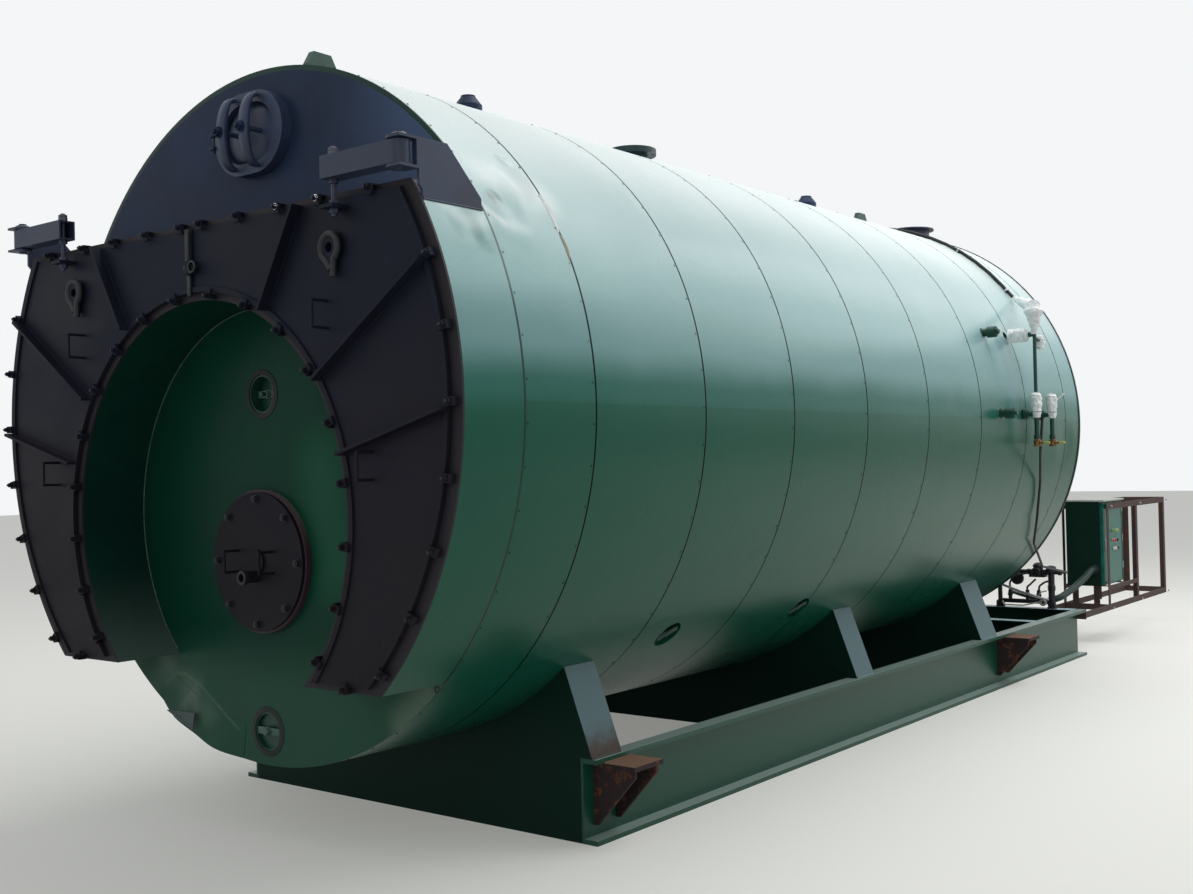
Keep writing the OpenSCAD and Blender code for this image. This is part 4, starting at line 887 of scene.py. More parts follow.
# Handholes in the shell: dark tilted bridge bars with a nut.
for i, y in enumerate((1.735, 3.196)):
    for side, label in ((1, "right"), (-1, "left")):
        out = Vector((side * math.sin(math.radians(134)), 0, math.cos(math.radians(134))))
        flat = out.to_track_quat("Z", "Y").to_matrix().to_4x4()
        place = boiler(0, y, 0) + out * (jacket_r - 9 * MM)
        bridge = Shape()
        tilt = Matrix.Rotation(math.radians(32 * side), 4, "Z")
        bridge.box(place - Vector((0.074, 0.018, 0.006)), place + Vector((0.074, 0.018, 0.006)), 0.004,
                   flat @ tilt, place)
        bridge.turned(place, tuple(out), [(0.020, 0.0), (0.020, 0.007), (0.018, 0.0085)], 6)
        bridge.made("%s_handhole_bridge_%d" % (label, i + 1), bridge_steel, "boiler", "dark_green")

# Small pan-head screws hold each jacket sheet behind its seam.
screw_points, screw_ways = [], []
for row, y in enumerate(seam_ys + [head_y + 0.02]):
    for step in range(58):
        turn = 360 * (step + 0.5 * (row % 2)) / 58
        place = Vector(on_shell(y - head_y - 16 * MM if row < len(seam_ys) else 0.024, turn))
        screw_points.append(place)
        screw_ways.append((math.sin(math.radians(turn)), 0, math.cos(math.radians(turn))))
SCREW = {"Head Width": 9 * MM, "Head Height": 2.6 * MM, "Washer Width": 14 * MM, "Washer Height": 0.8 * MM,
         "Shank Width": 4 * MM, "Shank Height": 3.0 * MM}
run_tree("jacket_screws", FASTENERS, spots("jacket_screws", screw_points, facing=screw_ways), SCREW,
         jacket_paint, "boiler")


# Where a seam has sprung, the edge of its sheet stands up: first with a near-white painted highlight, then scraped to
# bare metal.
def sprung_edge(name, first, last, rise, width, finish):
    rings = []
    for step in range(33):
        t = step / 32
        lift = rise * math.sin(math.pi * t) + 0.0008
        turn = first + (last - first) * t
        inner = Vector(on_shell(0.489, turn, jacket_r + 0.0002))
        outer = Vector(on_shell(0.489 + width * math.sin(math.pi * (0.1 + 0.8 * t)), turn, jacket_r + lift))
        up = Vector((math.sin(math.radians(turn)), 0, math.cos(math.radians(turn)))) * 0.0012
        rings.append([inner, inner + up, outer + up, outer])
    edge = Shape()
    edge.loft(rings)
    edge.made(name, finish, "boiler", "green_paint", 60)


sprung_edge("sprung_sheet_edge", 55.5, 62.9, 0.006, 0.020, highlight_edge)
sprung_edge("scraped_sheet_edge", 63.1, 67.8, 0.004, 0.016, bare_edge)

# Weld beads: lug feet, gusset feet, stiffener bars, saddle strips, brackets.
bead_lines = []
for y in (0.425, 6.770):
    r = jacket_r + 1 * MM
    half_x, half_y = 0.022, 0.1045
    bead_lines.append([boiler(x, y + dy, r) for x, dy in ((-half_x, -half_y), (half_x, -half_y), (half_x, half_y),
                                                          (-half_x, half_y), (-half_x, -half_y + 0.004))])
beads("lug_weld_beads", bead_lines, 0.010, fitting_paint, "boiler")
for side, label in ((1, "right"), (-1, "left")):
    foot = []
    for x in (1.5445, 1.5625):
        foot.append([boiler(side * x, -0.371 + 0.357 * t, 0.8475) for t in (0, 1)])
    beads(label + "_gusset_beads", foot, 0.009, davit_paint, "boiler")
    ribs = []
    for angle in (30, 56, 75):
        turn = math.radians(angle)
        ray = Vector((side * math.sin(turn), 0, math.cos(turn)))
        across = Vector((side * math.cos(turn), 0, -math.sin(turn)))
        centre = boiler(0, -0.4015, recess_z - axis_z)
        reach = 1.130
        while True:
            point = centre + ray * (reach + 0.02)
            dx, dz = point.x, point.z - axis_z
            if math.hypot(dx, dz) > 1.675 or dz > 0.875:
                break
            reach += 0.02
        for hand in (-1, 1):
            ribs.append([centre + ray * r + across * hand * 0.0085 for r in (1.130, reach)])
    beads(label + "_door_beads", ribs, 0.008, door_paint, label + "_half_door")

strip_lines = []
for name in ("front_saddle", "middle_saddle", "rear_saddle"):
    low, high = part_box(name)
    for side in (1, -1):
        foot_x = side * 1.371
        strip_lines.append([Vector((foot_x, y, beam_top + 2 * MM)) for y in (low[1] + 0.012, high[1] - 0.012)])
beads("saddle_foot_beads", strip_lines, 0.010, saddle_paint, "boiler")

bracket_lines = []
for y in (0.980, 6.420):
    for side in (1, -1):
        x = side * 1.395
        bracket_lines.append([boiler(x, yy, beam_top - axis_z - 0.026) for yy in (y + 0.004, y + 0.241)])
beads("bracket_beads", bracket_lines, 0.011, burnt_steel, "boiler")


# Water level fittings. The sizes repeat the source: places along the shell, then heights.
column_ys = (5.920, 6.270)
upper_z, lower_z = 0.655, 0.035
lx = level_x


def crease(place, size):
    """Sharp folds in film: 1 on a ridge, 0 in a hollow."""
    value, weight = 0.0, 0.0
    for octave in range(3):
        grain = 2 ** octave / size
        share = 0.55 ** octave
        value += share * (1 - min(1.0, 2.2 * abs(noise.noise(place * grain + Vector((7.3 * octave, 1.7, 3.1))))))
        weight += share
    return value / weight


def wound_film(shape, path, radii, turns=5.0, depth=0.010, sides=56, rings=64, grain=0.045):
    """Film wound round a path: an uneven skin with slanting laps and sharp creases."""
    legs = [(Vector(b) - Vector(a)).length for a, b in zip(path, path[1:])]
    whole = sum(legs)
    out = []
    for step in range(rings + 1):
        t = step / rings
        left, leg = t * whole, 0
        while leg < len(legs) - 1 and left > legs[leg]:
            left -= legs[leg]
            leg += 1
        part = left / legs[leg]
        ease = part * part * (3 - 2 * part)
        centre = Vector(path[leg]).lerp(Vector(path[leg + 1]), part)
        radius = radii[leg] + (radii[leg + 1] - radii[leg]) * ease
        ahead = (Vector(path[leg + 1]) - Vector(path[leg])).normalized()
        spin = ahead.to_track_quat("Z", "Y")
        ring = []
        for i in range(sides):
            turn = 2 * math.pi * i / sides
            ray = spin @ Vector((math.cos(turn), math.sin(turn), 0))
            lap = (turn / (2 * math.pi) + t * turns) % 1.0
            place = centre + ray * radius
            fade = min(1.0, 6 * t, 6 * (1 - t))
            push = depth * fade * (crease(place, grain) - 0.75) - 0.0035 * fade * lap
            ring.append(centre + ray * max(0.002, radius + push))
        out.append(ring)
    shape.loft(out)


wraps = Shape()
for y, swell in zip(column_ys, (0.047, 0.045)):
    low, high = lower_z - 0.030, lower_z + 0.172
    wound_film(wraps, [boiler(lx, y, low - 0.004), boiler(lx, y, low + 0.004), boiler(lx + 0.002, y, low + 0.05),
                       boiler(lx, y, low + 0.120), boiler(lx - 0.002, y, high - 0.028), boiler(lx, y, high - 0.006),
                       boiler(lx, y, high)], [0.012, 0.030, 0.038, swell, 0.046, 0.030, 0.006], 4)
first_y = column_ys[0]
head_low, head_high = upper_z + 0.010, upper_z + 0.225
wound_film(wraps, [boiler(lx, first_y, head_low - 0.01), boiler(lx, first_y, head_low + 0.03),
                   boiler(lx, first_y, head_low + 0.11), boiler(lx, first_y, head_high - 0.045),
                   boiler(lx, first_y + 0.004, head_high - 0.012), boiler(lx, first_y + 0.008, head_high)],
           [0.026, 0.034, 0.053, 0.076, 0.060, 0.018], 4)
arm_tip, arm_end = Vector(on_shell(6.600, 55.0, jacket_r + 0.024)), boiler(lx - 0.010, first_y + 0.020, head_high - 0.010)
arm = [arm_tip.lerp(arm_end, t) for t in (0, 0.03, 0.25, 0.5, 0.75, 1)]
wound_film(wraps, arm, [0.014, 0.020, 0.030, 0.040, 0.050, 0.056], 7, 0.010)
wound_film(wraps, [boiler(lx, first_y + 0.110, upper_z - 0.120), boiler(lx, first_y + 0.110, upper_z - 0.100),
                   boiler(lx + 0.004, first_y + 0.112, upper_z - 0.050), boiler(lx, first_y + 0.108, upper_z - 0.010),
                   boiler(lx, first_y + 0.106, upper_z + 0.004)], [0.008, 0.034, 0.038, 0.032, 0.006], 3, 0.007)
stub_x = math.sqrt(jacket_r ** 2 - (upper_z - 0.056) ** 2) + 0.004
wound_film(wraps, [boiler(stub_x - 0.001, first_y, upper_z), boiler(stub_x + 0.006, first_y, upper_z),
                   boiler(stub_x + 0.080, first_y, upper_z), boiler(lx - 0.060, first_y, upper_z),
                   boiler(lx - 0.046, first_y, upper_z)], [0.030, 0.055, 0.058, 0.054, 0.028], 4, 0.009)
film_wraps = wraps.made("film_wraps", film, "boiler", "white_wrap", 38)
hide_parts("float_columns")

# Level pipes: slim screwed pipe with a socket at each turn.
pipes = Shape()


def pipe(low, high, radius):
    length = (high - low).length
    pipes.turned(low, high - low, [(radius, 0), (radius, length)], 20)
    pipes.turned(low, high - low, [(radius * 1.35, 0.012), (radius * 1.35, 0.040)], 20)


for y in column_ys:
    pipe(boiler(lx, y, lower_z - 0.205), boiler(lx, y, lower_z + 0.02), 0.0175)
    pipe(boiler(math.sqrt(jacket_r ** 2 - lower_z ** 2) - 0.004, y, lower_z), boiler(lx, y, lower_z), 0.0185)
pipe(boiler(lx, first_y, lower_z + 0.120), boiler(lx, first_y, head_low + 0.020), 0.0135)
pipe(boiler(stub_x - 0.004, first_y, upper_z), boiler(lx, first_y, upper_z), 0.0185)
pipe(boiler(lx, first_y, upper_z - 0.040), boiler(lx, first_y + 0.110, upper_z - 0.040), 0.0135)
level_pipes = pipes.made("slim_level_pipes", fitting_paint, "boiler", "dark_green")
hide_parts("level_piping")

# A test lever that pokes out of the second wrap.
lever = Shape()
lever.turned(boiler(lx + 0.040, column_ys[1] + 0.010, lower_z + 0.118), (0.75, 0.1, 0.65),
             [(0.004, 0), (0.004, 0.048), (0.0065, 0.052), (0.0065, 0.070), (0.004, 0.074)], 12)
lever.made("film_test_lever", film, "boiler", "white_wrap")

# Couplings and unions where the level pipes meet the shell.
union_points, union_big = [], []
for y in (5.455,) + column_ys:
    for z in (upper_z, lower_z):
        if (y, z) == (column_ys[1], upper_z):
            continue
        wall_x = math.sqrt(jacket_r ** 2 - z ** 2)
        if y == 5.455:
            union_big.append(boiler(wall_x + 0.0995, y, z))
        elif z == lower_z:
            union_points.append(boiler(wall_x + 0.012, y, z))
run_tree("spare_coupling_plugs", FASTENERS, spots("plugs", union_big, facing=[(1, 0, 0)] * len(union_big)),
         {"Head Width": 0.070, "Head Height": 0.010, "Washer Width": 0.086, "Washer Height": 0.004,
          "Shank Width": 0.034, "Shank Height": 0.030}, fitting_paint, "boiler")
run_tree("level_unions", FASTENERS, spots("unions", union_points, facing=[(1, 0, 0)] * len(union_points)),
         {"Head Width": 0.072, "Head Height": 0.022, "Washer Width": 0.084, "Washer Height": 0.006,
          "Shank Width": 0.052, "Shank Height": 0.038}, fitting_paint, "boiler")

# Drain cocks: cast body with hexagon ends and a lever in a lime grip.
cocks, grips = Shape(), Shape()
for y in column_ys:
    for z in (lower_z - 0.252, lower_z - 0.214):
        cocks.turned(boiler(lx, y, z), (0, 0, 1), [(0.027, 0), (0.029, 0.002), (0.029, 0.014), (0.027, 0.016)], 6)
    cocks.turned(boiler(lx, y, lower_z - 0.225), (1, 0, 0), [(0.020, 0), (0.020, 0.030), (0.012, 0.034), (0.012, 0.042)], 24)
    grips.box(boiler(lx + 0.050, y - 0.011, lower_z - 0.2345), boiler(lx + 0.1005, y + 0.011, lower_z - 0.2155), 0.005)
    cocks.turned(boiler(lx + 0.040, y, lower_z - 0.225), (1, 0, 0), [(0.007, 0), (0.007, 0.014)], 12)
cocks.made("cock_bodies", brass, "boiler", "brass")
grips.made("cock_grips", lime_grip, "boiler", "brass")

# The ribbed conduit over the shell and the black one down to the fuel line, as in the source.
over_r = jacket_r + 0.0171
conduit_y = 6.600


def off_jacket(y, angle, out):
    return Vector(on_shell(y, angle, jacket_r + out))


ribbed = [off_jacket(conduit_y, a, 0.0171) for a in range(0, 52, 5)]
ribbed += [off_jacket(conduit_y, 53.5, 0.020)] + arm[1:5]
smooth_run = [boiler(lx + 0.035, first_y + 0.025, lower_z - 0.030), boiler(lx + 0.035, first_y + 0.025, lower_z - 0.050),
              boiler(lx, first_y + 0.070, -0.230), off_jacket(6.378, 105.8, 0.028), off_jacket(6.600, 116.6, 0.036),
              off_jacket(6.860, 124.6, 0.040), off_jacket(7.600, 134.8, 0.056),
              boiler(1.260, 8.410, -1.412), boiler(1.196, 8.410, -1.412)]
ribbed_conduit = tubes("ribbed_conduit", [ribbed], 0.028, black_conduit, "boiler",
                       0.06, 0.0022, 0.009, 0.055, 14)
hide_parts("conduits")
tubes("fuel_line_conduit", [smooth_run], 0.021, black_conduit, "boiler", 0.05, 0.010, 1.0, 0.0, 12)
top_box = Shape()
top_box.box(boiler(-0.075, conduit_y - 0.026, jacket_r - 0.001), boiler(0.020, conduit_y + 0.026, jacket_r + 0.046), 0.006)
top_box.box(boiler(-0.070, conduit_y - 0.022, jacket_r + 0.046), boiler(0.015, conduit_y + 0.022, jacket_r + 0.051), 0.002)
top_box.made("conduit_body", black_fitting, "boiler", "black_conduit")
saddles = Shape()
for y, angle in ((conduit_y, 14), (conduit_y, 34), (conduit_y, 52)):
    out = Vector((math.sin(math.radians(angle)), 0, math.cos(math.radians(angle))))
    saddles.box(off_jacket(y, angle, 0.017) - Vector((0.009, 0.026, 0.0175)),
                off_jacket(y, angle, 0.017) + Vector((0.009, 0.026, 0.0150)), 0.003,
                Matrix.Rotation(math.radians(angle), 4, "Y"), off_jacket(y, angle, 0.017))
saddles.made("conduit_straps", zinc, "boiler", "black_conduit")

# The vent valve on top: cast globe body, bonnet, stem and a spoked wheel.
vent = Shape()
vx = boiler(0, 5.535, jacket_r)
vent.turned(vx + Vector((0, 0, -0.02)), (0, 0, 1), [(0.017, 0), (0.017, 0.050), (0.026, 0.052), (0.026, 0.064),
            (0.020, 0.068), (0.029, 0.080), (0.031, 0.092), (0.027, 0.106), (0.021, 0.112), (0.024, 0.114),
            (0.024, 0.122), (0.012, 0.128), (0.010, 0.140), (0.005, 0.141), (0.005, 0.149)], 32)
vent.turned(vx + Vector((0.022, 0, 0.070)), (1, 0, 0), [(0.020, 0), (0.024, 0.012), (0.024, 0.030), (0.018, 0.031)], 8)
vent.wheel(vx + Vector((0, 0, 0.123)), (0, 0, 1), 0.0335, 0.0055)
vent.turned(vx + Vector((0, 0, 0.117)), (0, 0, 1), [(0.010, 0), (0.010, 0.012)], 16)
for step in range(3):
    vent.box(vx + Vector((-0.031, -0.003, 0.120)), vx + Vector((0.031, 0.003, 0.126)), 0.0015,
             Matrix.Rotation(math.radians(60 * step + 10), 4, "Z"), vx)
vent_piece = vent.made("vent_globe_valve", fitting_paint, "boiler", "dark_green")
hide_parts("vent_valve")

# Fuel set across the end of the skid: conduit, tubes and hoses between its fittings.
fy = skid_end - head_y - 0.060


def fuel(x, z, back=0.0):
    return boiler(x, fy + back, z)


tubes("silver_conduit", [[fuel(0.589, -1.470, -0.030), fuel(0.640, -1.545, -0.050), fuel(0.800, -1.600, -0.060),
                          fuel(1.030, -1.665, -0.050), fuel(1.075, -1.672, -0.030)]], 0.026, zinc, "boiler",
      0.05, 0.003, 0.010, 0.07, 14)
tubes("pale_supply_tube", [[fuel(0.690, -1.610, 0.010), fuel(0.760, -1.640, 0.045), fuel(1.000, -1.700, 0.045),
                            fuel(1.060, -1.675, 0.010), fuel(1.090, -1.650)]], 0.030, fitting_paint, "boiler",
      0.04, 0.008, 1.0, 0.0, 14)
tubes("panel_supply_hose", [[fuel(1.060, -1.690), fuel(1.160, -1.655, 0.060), fuel(1.200, -1.590, 0.320),
                             boiler(1.225, 9.020, -1.500), boiler(1.240, 9.150, -1.440),
                             boiler(1.240, 9.242, -1.440)]], 0.064, hose_green, "boiler",
      0.09, 0.010, 0.020, 0.03, 18)
tubes("looped_black_hoses", [
    [fuel(0.589, -1.640, 0.022), fuel(0.560, -1.560, 0.070), fuel(0.520, -1.480, 0.060), fuel(0.545, -1.430, 0.030),
     fuel(0.589, -1.425)],
    [fuel(0.690, -1.600), fuel(0.690, -1.530, -0.010), fuel(0.730, -1.470, -0.050), fuel(0.800, -1.440, -0.055),
     fuel(0.897, -1.420, -0.020)],
    [fuel(0.860, -1.610), fuel(0.862, -1.560, -0.015), fuel(0.905, -1.530, -0.040), fuel(0.960, -1.480, -0.052)],
    [fuel(0.970, -1.610), fuel(0.972, -1.550, 0.012), fuel(1.020, -1.510, 0.050), fuel(1.078, -1.500, 0.030)]],
      0.019, black_conduit, "boiler", 0.04, 0.008, 1.0, 0.0, 12)
tubes("white_sleeved_line", [
    [fuel(0.620, -1.700, -0.022), fuel(0.640, -1.735, -0.050), fuel(0.840, -1.735, -0.060), fuel(0.985, -1.700, -0.055),
     fuel(1.060, -1.660, -0.034)],
    [fuel(0.970, -1.640, -0.018), fuel(1.010, -1.600, -0.050), fuel(1.060, -1.590, -0.036)]],
      0.014, white_sleeve, "boiler", 0.04, 0.008, 1.0, 0.0, 12)
gear = Shape()
gear.turned(fuel(1.095, -1.412), (0, 0, 1), [(0.034, 0.0), (0.046, 0.006), (0.046, 0.046), (0.036, 0.058), (0.012, 0.064)], 32)
gear.turned(fuel(0.9695, -1.412 + 0.050), (0, 0, 1), [(0.046, 0.0), (0.050, 0.004), (0.050, 0.010), (0.046, 0.018),
            (0.030, 0.034), (0.010, 0.040)], 32)
gear.turned(fuel(0.9695, -1.412), (0, -1, 0), [(0.040, 0.0), (0.040, 0.058), (0.034, 0.064), (0.016, 0.066), (0.016, 0.080)], 32)
gear.turned(fuel(0.769, -1.479, 0.012), (0, -1, 0), [(0.030, -0.01), (0.056, 0.0), (0.060, 0.012), (0.060, 0.040), (0.052, 0.050),
            (0.020, 0.052)], 36)
gear.turned(fuel(0.769, -1.475, -0.004), (0, 0, 1), [(0.014, 0.0), (0.014, 0.066)], 16)
for x in (0.690, 0.860, 0.970):
    gear.turned(fuel(x, -1.648), (0, 0, 1), [(0.026, 0), (0.026, 0.018), (0.022, 0.020), (0.022, 0.034), (0.016, 0.040)], 6)
for x in (0.589, 1.095):
    gear.turned(fuel(x, -1.724), (1, 0, 0), [(0.030, -0.032), (0.030, 0.032)], 6)
    gear.turned(fuel(x, -1.760), (0, 0, 1), [(0.048, 0), (0.048, 0.010), (0.040, 0.012)], 6)
for x in (0.640, 0.880, 1.060, 1.180):
    gear.turned(fuel(x, -1.412), (1, 0, 0), [(0.030, -0.014), (0.030, 0.014)], 6)
gear.turned(fuel(1.095, -1.590), (0, 0, 1), [(0.033, 0), (0.038, 0.004), (0.038, 0.050), (0.033, 0.054)], 6)
gear.made("fuel_gear", black_fitting, "boiler", "dark_steel")
ring = Shape()
ring.turned(fuel(1.027, -1.701, -0.042), (0, -1, 0), [(0.030, 0.0), (0.034, 0.003), (0.034, 0.015), (0.030, 0.018),
                                                   (0.016, 0.018), (0.016, 0.0)], 32, loop=True)
ring.made("white_gland_ring", white_sleeve, "boiler", "dark_steel")
wheel = Shape()
wheel.wheel(fuel(0.9695, -1.412, -0.084), (0, 1, 0), 0.040, 0.006)
wheel.turned(fuel(0.9695, -1.412, -0.078), (0, -1, 0), [(0.012, 0), (0.012, 0.012)], 16)
for step in range(2):
    wheel.box(fuel(0.9695, -1.412, -0.084) - Vector((0.038, 0.003, 0.004)),
              fuel(0.9695, -1.412, -0.084) + Vector((0.038, 0.003, 0.004)), 0.001,
              Matrix.Rotation(math.radians(90 * step + 20), 4, "Y"), fuel(0.9695, -1.412, -0.084))
wheel.made("fuel_valve_wheel", black_fitting, "boiler", "dark_steel")

# Control panel: seam of the door, hinges, latch, lamps and switches on the +X face, rain lip.
face_x = panel_high[0] - 0.020 + 0.025
face_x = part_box("panel_door")[1][0]
door_low, door_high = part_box("panel_door")
frame_strip = Shape()
edge_in = 0.012
for low, high in (((door_low[1] + edge_in, door_low[2] + edge_in), (door_high[1] - edge_in, door_low[2] + edge_in + 0.012)),
                  ((door_low[1] + edge_in, door_high[2] - edge_in - 0.012), (door_high[1] - edge_in, door_high[2] - edge_in)),
                  ((door_low[1] + edge_in, door_low[2] + edge_in), (door_low[1] + edge_in + 0.012, door_high[2] - edge_in)),
                  ((door_high[1] - edge_in - 0.012, door_low[2] + edge_in), (door_high[1] - edge_in, door_high[2] - edge_in))):
    frame_strip.box((face_x - 0.002, low[0], low[1]), (face_x + 0.004, high[0], high[1]), 0.0015)
frame_strip.made("panel_door_rim", panel_paint, "boiler", "green_paint")
hinges = Shape()
for z in (0.72, 1.00, 1.30):
    hinges.turned((face_x - 0.004, door_high[1] + 0.006, z), (0, 0, 1), [(0.008, 0), (0.008, 0.070)], 14)
hinges.box((face_x + 0.003, door_low[1] + 0.035, 0.930), (face_x + 0.012, door_low[1] + 0.060, 1.060), 0.003)
hinges.turned((face_x, door_low[1] + 0.0475, 1.030), (1, 0, 0), [(0.014, 0), (0.014, 0.016), (0.010, 0.018)], 20)
hinges.box((face_x + 0.014, door_low[1] + 0.040, 0.950), (face_x + 0.022, door_low[1] + 0.055, 1.040), 0.003)
hinges.made("panel_hinges_and_latch", zinc, "boiler", "green_paint")
for label, finish, places in (
        ("green", lamp_green, ((1.118, 9.600), (1.118, 9.550))), ("yellow", lamp_yellow, ((1.118, 9.684),)),
        ("red", lamp_red, ((1.020, 9.608), (1.020, 9.555))), ("white", lamp_white, ((0.937, 9.634), (0.937, 9.575))),
        ("black", black_fitting, ((1.020, 9.684), (0.937, 9.700)))):
    lamps = Shape()
    for z, y in places:
        base = Vector((face_x, head_y + y, z))
        lamps.turned(base, (1, 0, 0), [(0.015, -0.001), (0.016, 0.010), (0.013, 0.019), (0.006, 0.023)], 24)
    lamps.made("panel_%s_lamps" % label, finish, "boiler", "green_paint")
bezels = Shape()
for z, y in ((1.118, 9.600), (1.118, 9.550), (1.118, 9.684), (1.020, 9.608), (1.020, 9.555), (0.937, 9.634),
             (0.937, 9.575), (1.020, 9.684), (0.937, 9.700)):
    bezels.turned((face_x, head_y + y, z), (1, 0, 0), [(0.0165, 0), (0.021, 0), (0.021, 0.004), (0.0165, 0.006)], 24, loop=True)
bezels.made("panel_lamp_bezels", zinc, "boiler", "green_paint")
lip = Shape()
lip_gap = Vector((1.5 * MM, 1.5 * MM, 1.5 * MM))
lip.box(Vector((panel_low[0], panel_low[1], panel_high[2] - 14 * MM)) - lip_gap, Vector(panel_high) + lip_gap, 0.003)
lip.made("panel_rain_lip", pale_steel, "boiler", "dark_green")
gland = Shape()
gland.turned(boiler(1.240, 9.243, -1.440), (0, -1, 0), [(0.050, 0), (0.050, 0.012), (0.040, 0.014), (0.040, 0.040), (0.036, 0.042)], 8)
gland.made("panel_hose_gland", black_fitting, "boiler", "dark_green")

# Cage: a bolt at each corner.
strip = Shape()
cage_low, cage_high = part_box("panel_cage")
cage_bolts, cage_ways = [], []
for y in (9.330, 10.318, 11.305):
    for z in (0.36, 1.375):
        cage_bolts.append(Vector((cage_high[0], head_y + y, z)))
        cage_ways.append((1, 0, 0))
        cage_bolts.append(Vector((cage_low[0] if cage_low[0] > 0.8 else 0.910, head_y + y, z)))
        cage_ways.append((-1, 0, 0))
bolts("cage_bolts", cage_bolts, cage_ways, 10, zinc, "boiler", 1.2)

# Burner end: bolts round the box and the plate, hinges of its half doors, a sight glass.
far_face = far_y - head_y + 0.880 + 0.012
half_ring = [p for p in circle(boiler(0, far_face, 0), 1.296, 44, 360 / 88)]
bolts("burner_end_bolts", half_ring, (0, 1, 0), 16, black_fitting, "boiler", 1.4)
plate_ring = circle(boiler(0, far_face + 0.048, -0.735), 0.500, 20)
bolts("burner_plate_bolts", plate_ring, (0, 1, 0), 18, black_fitting, "boiler", 1.3)
bolts("burner_cap_bolts", circle(boiler(0, far_face + 0.118, -0.735), 0.130, 8), (0, 1, 0), 14, black_fitting,
      "boiler", 1.3)
far = Shape()
for side in (-1, 1):
    for z in (0.300, 0.760):
        reach = math.sqrt(1.280 ** 2 - z ** 2) - 0.030
        far.turned(boiler(side * reach, far_face + 0.028, z - 0.050), (0, 0, 1), [(0.022, 0), (0.024, 0.003), (0.024, 0.107), (0.022, 0.110)], 24)
        far.box(boiler(side * reach - 0.05, far_face - 0.001, z - 0.030), boiler(side * reach + 0.012, far_face + 0.030, z + 0.040), 0.004)
    far.turned(boiler(side * 0.260, far_face, -0.100), (0, 1, 0), [(0.034, 0), (0.034, 0.030), (0.044, 0.032), (0.044, 0.044),
               (0.030, 0.045), (0.030, 0.040)], 32)
far.turned(boiler(0, far_face + 0.118, -0.735), (0, 1, 0), [(0.060, 0), (0.060, 0.010), (0.030, 0.020), (0.030, 0.034), (0.020, 0.036)], 32)
far.made("burner_end_fittings", black_fitting, "boiler", "dark_steel")
for side, label in ((1, "right"), (-1, "left")):
    handle = Shape()
    handle.turned(boiler(side * 0.110, far_face, 0.480), (0, 1, 0), [(0.012, 0), (0.012, 0.040)], 16)
    handle.turned(boiler(side * 0.110, far_face, 0.620), (0, 1, 0), [(0.012, 0), (0.012, 0.040)], 16)
    handle.box(boiler(side * 0.110 - 0.010, far_face + 0.034, 0.465), boiler(side * 0.110 + 0.010, far_face + 0.050, 0.635), 0.005)
    handle.made(label + "_far_door_handle", black_fitting, "boiler", "dark_steel")
bolts("end_ring_bolts", circle(boiler(0, far_y - head_y + 0.022, 0), 1.7735 - 0.0005, 60), (0, 1, 0), 4.2,
      black_fitting, "boiler", 1.0)

# Threads on the open ends of the small top nozzles, and a bead where each sleeve meets the jacket.
rims = Shape()
for y in (1.578, 5.761):
    for lift in (0.012, 0.020, 0.028, 0.036):
        rims.turned(boiler(0, y, jacket_r + 0.199 - lift - 0.002), (0, 0, 1),
                    [(0.0444, 0), (0.0452, 0.002), (0.0444, 0.004), (0.041, 0.004), (0.041, 0)], 40, loop=True)
rims.made("nozzle_threads", head_paint, "boiler", "blue_paint")
seal_lines = []
for y, r in ((1.578, 0.0865), (5.761, 0.0865), (3.250, 0.111)):
    ring_line = []
    for step in range(49):
        turn = 2 * math.pi * step / 48
        x = r * math.cos(turn)
        ring_line.append(boiler(x, y + r * math.sin(turn), math.sqrt(jacket_r ** 2 - x ** 2) + 0.002))
    seal_lines.append(ring_line)
tubes("nozzle_seals", seal_lines, 0.011, fitting_paint, "boiler", 0.001, 0.008, 0.02, 0.1, 8)

scene_collection = bpy.context.scene.collection


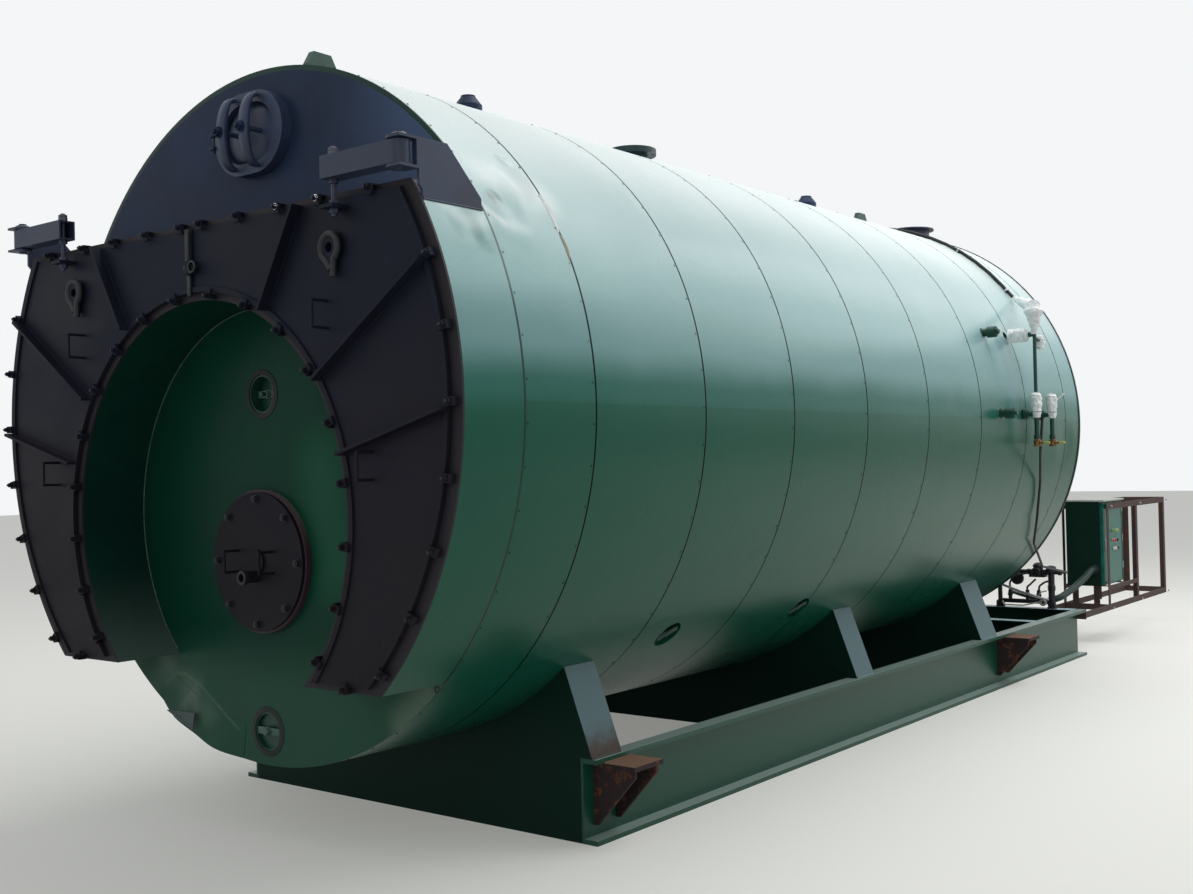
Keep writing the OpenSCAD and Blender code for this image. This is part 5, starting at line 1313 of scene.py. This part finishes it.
# The floor, the light and the camera.
def studio():
    plate = bpy.data.meshes.new("floor")
    reach = 60.0
    plate.from_pydata([(-reach, -reach, 0), (reach, -reach, 0), (reach, reach, 0), (-reach, reach, 0)],
                      [], [(0, 1, 2, 3)])
    floor = bpy.data.objects.new("floor", plate)
    scene_collection.objects.link(floor)
    f = Finish("pale_floor")
    rays = add(f.tree, "ShaderNodeLightPath").outputs
    seen = f.sum("MAXIMUM", rays["Is Camera Ray"], rays["Is Glossy Ray"])
    seen = f.sum("MAXIMUM", seen, rays["Is Transmission Ray"])
    plate.materials.append(f.finish("#dcdbd6", 0.9, Specular_IOR_Level=0.0, Emission_Color=linear("#dcdbd6"),
                                    Emission_Strength=f.sum("MULTIPLY", seen, 0.30)))

    world = bpy.data.worlds.new("studio")
    bpy.context.scene.world = world
    world.use_nodes = True
    tree = world.node_tree
    tree.nodes.clear()
    soft = add(tree, "ShaderNodeBackground", {"Color": "#f0f4f7", "Strength": 0.50})
    white = add(tree, "ShaderNodeBackground", {"Color": "#f4f6f7", "Strength": 1.0})
    ray = add(tree, "ShaderNodeLightPath").outputs
    seen = add(tree, "ShaderNodeMath", {0: ray["Is Camera Ray"], 1: ray["Is Glossy Ray"]}, operation="MAXIMUM")
    seen = add(tree, "ShaderNodeMath", {0: seen.outputs[0], 1: ray["Is Transmission Ray"]}, operation="MAXIMUM")
    both = add(tree, "ShaderNodeMixShader", {0: seen.outputs[0], 1: soft.outputs[0], 2: white.outputs[0]})
    add(tree, "ShaderNodeOutputWorld", {"Surface": both.outputs[0]})

    def soft_box(name, place, target, size, power):
        lamp = bpy.data.lights.new(name, "AREA")
        lamp.shape = "RECTANGLE"
        lamp.size, lamp.size_y = size
        lamp.energy = power
        obj = bpy.data.objects.new(name, lamp)
        obj.visible_camera = False
        obj.location = place
        obj.rotation_euler = (Vector(target) - Vector(place)).to_track_quat("-Z", "Y").to_euler()
        scene_collection.objects.link(obj)

    soft_box("top_light", (2.5, 2.5, 11.0), (0.0, 1.5, 2.5), (6.0, 14.0), 780)
    soft_box("sky_side_light", (6.5, 10.5, 9.0), (1.5, 0.0, 2.5), (7.0, 6.0), 200)
    soft_box("front_fill", (7.0, -14.0, 5.0), (0.0, -3.0, 2.0), (6.0, 4.0), 60)


def camera():
    """The photograph's camera: where it stood and how it was turned, from a pinhole fit."""
    place = Vector((5.510, -8.221, 1.908))
    yaw, pitch, roll = (math.radians(a) for a in (37.9775, 0.7673, -1.2989))
    image_w, focal_px, film_w = 1193, 1324.4, 36.0
    lens = bpy.data.cameras.new("camera")
    lens.sensor_width = film_w
    lens.lens = focal_px / image_w * film_w
    obj = bpy.data.objects.new("camera", lens)
    obj.matrix_world = (Matrix.Translation(place) @ Matrix.Rotation(yaw, 4, "Z")
                        @ Matrix.Rotation(math.pi / 2 + pitch, 4, "X") @ Matrix.Rotation(roll, 4, "Z"))
    scene_collection.objects.link(obj)
    bpy.context.scene.camera = obj


studio()
camera()
bpy.context.scene.view_settings.view_transform = "Standard"
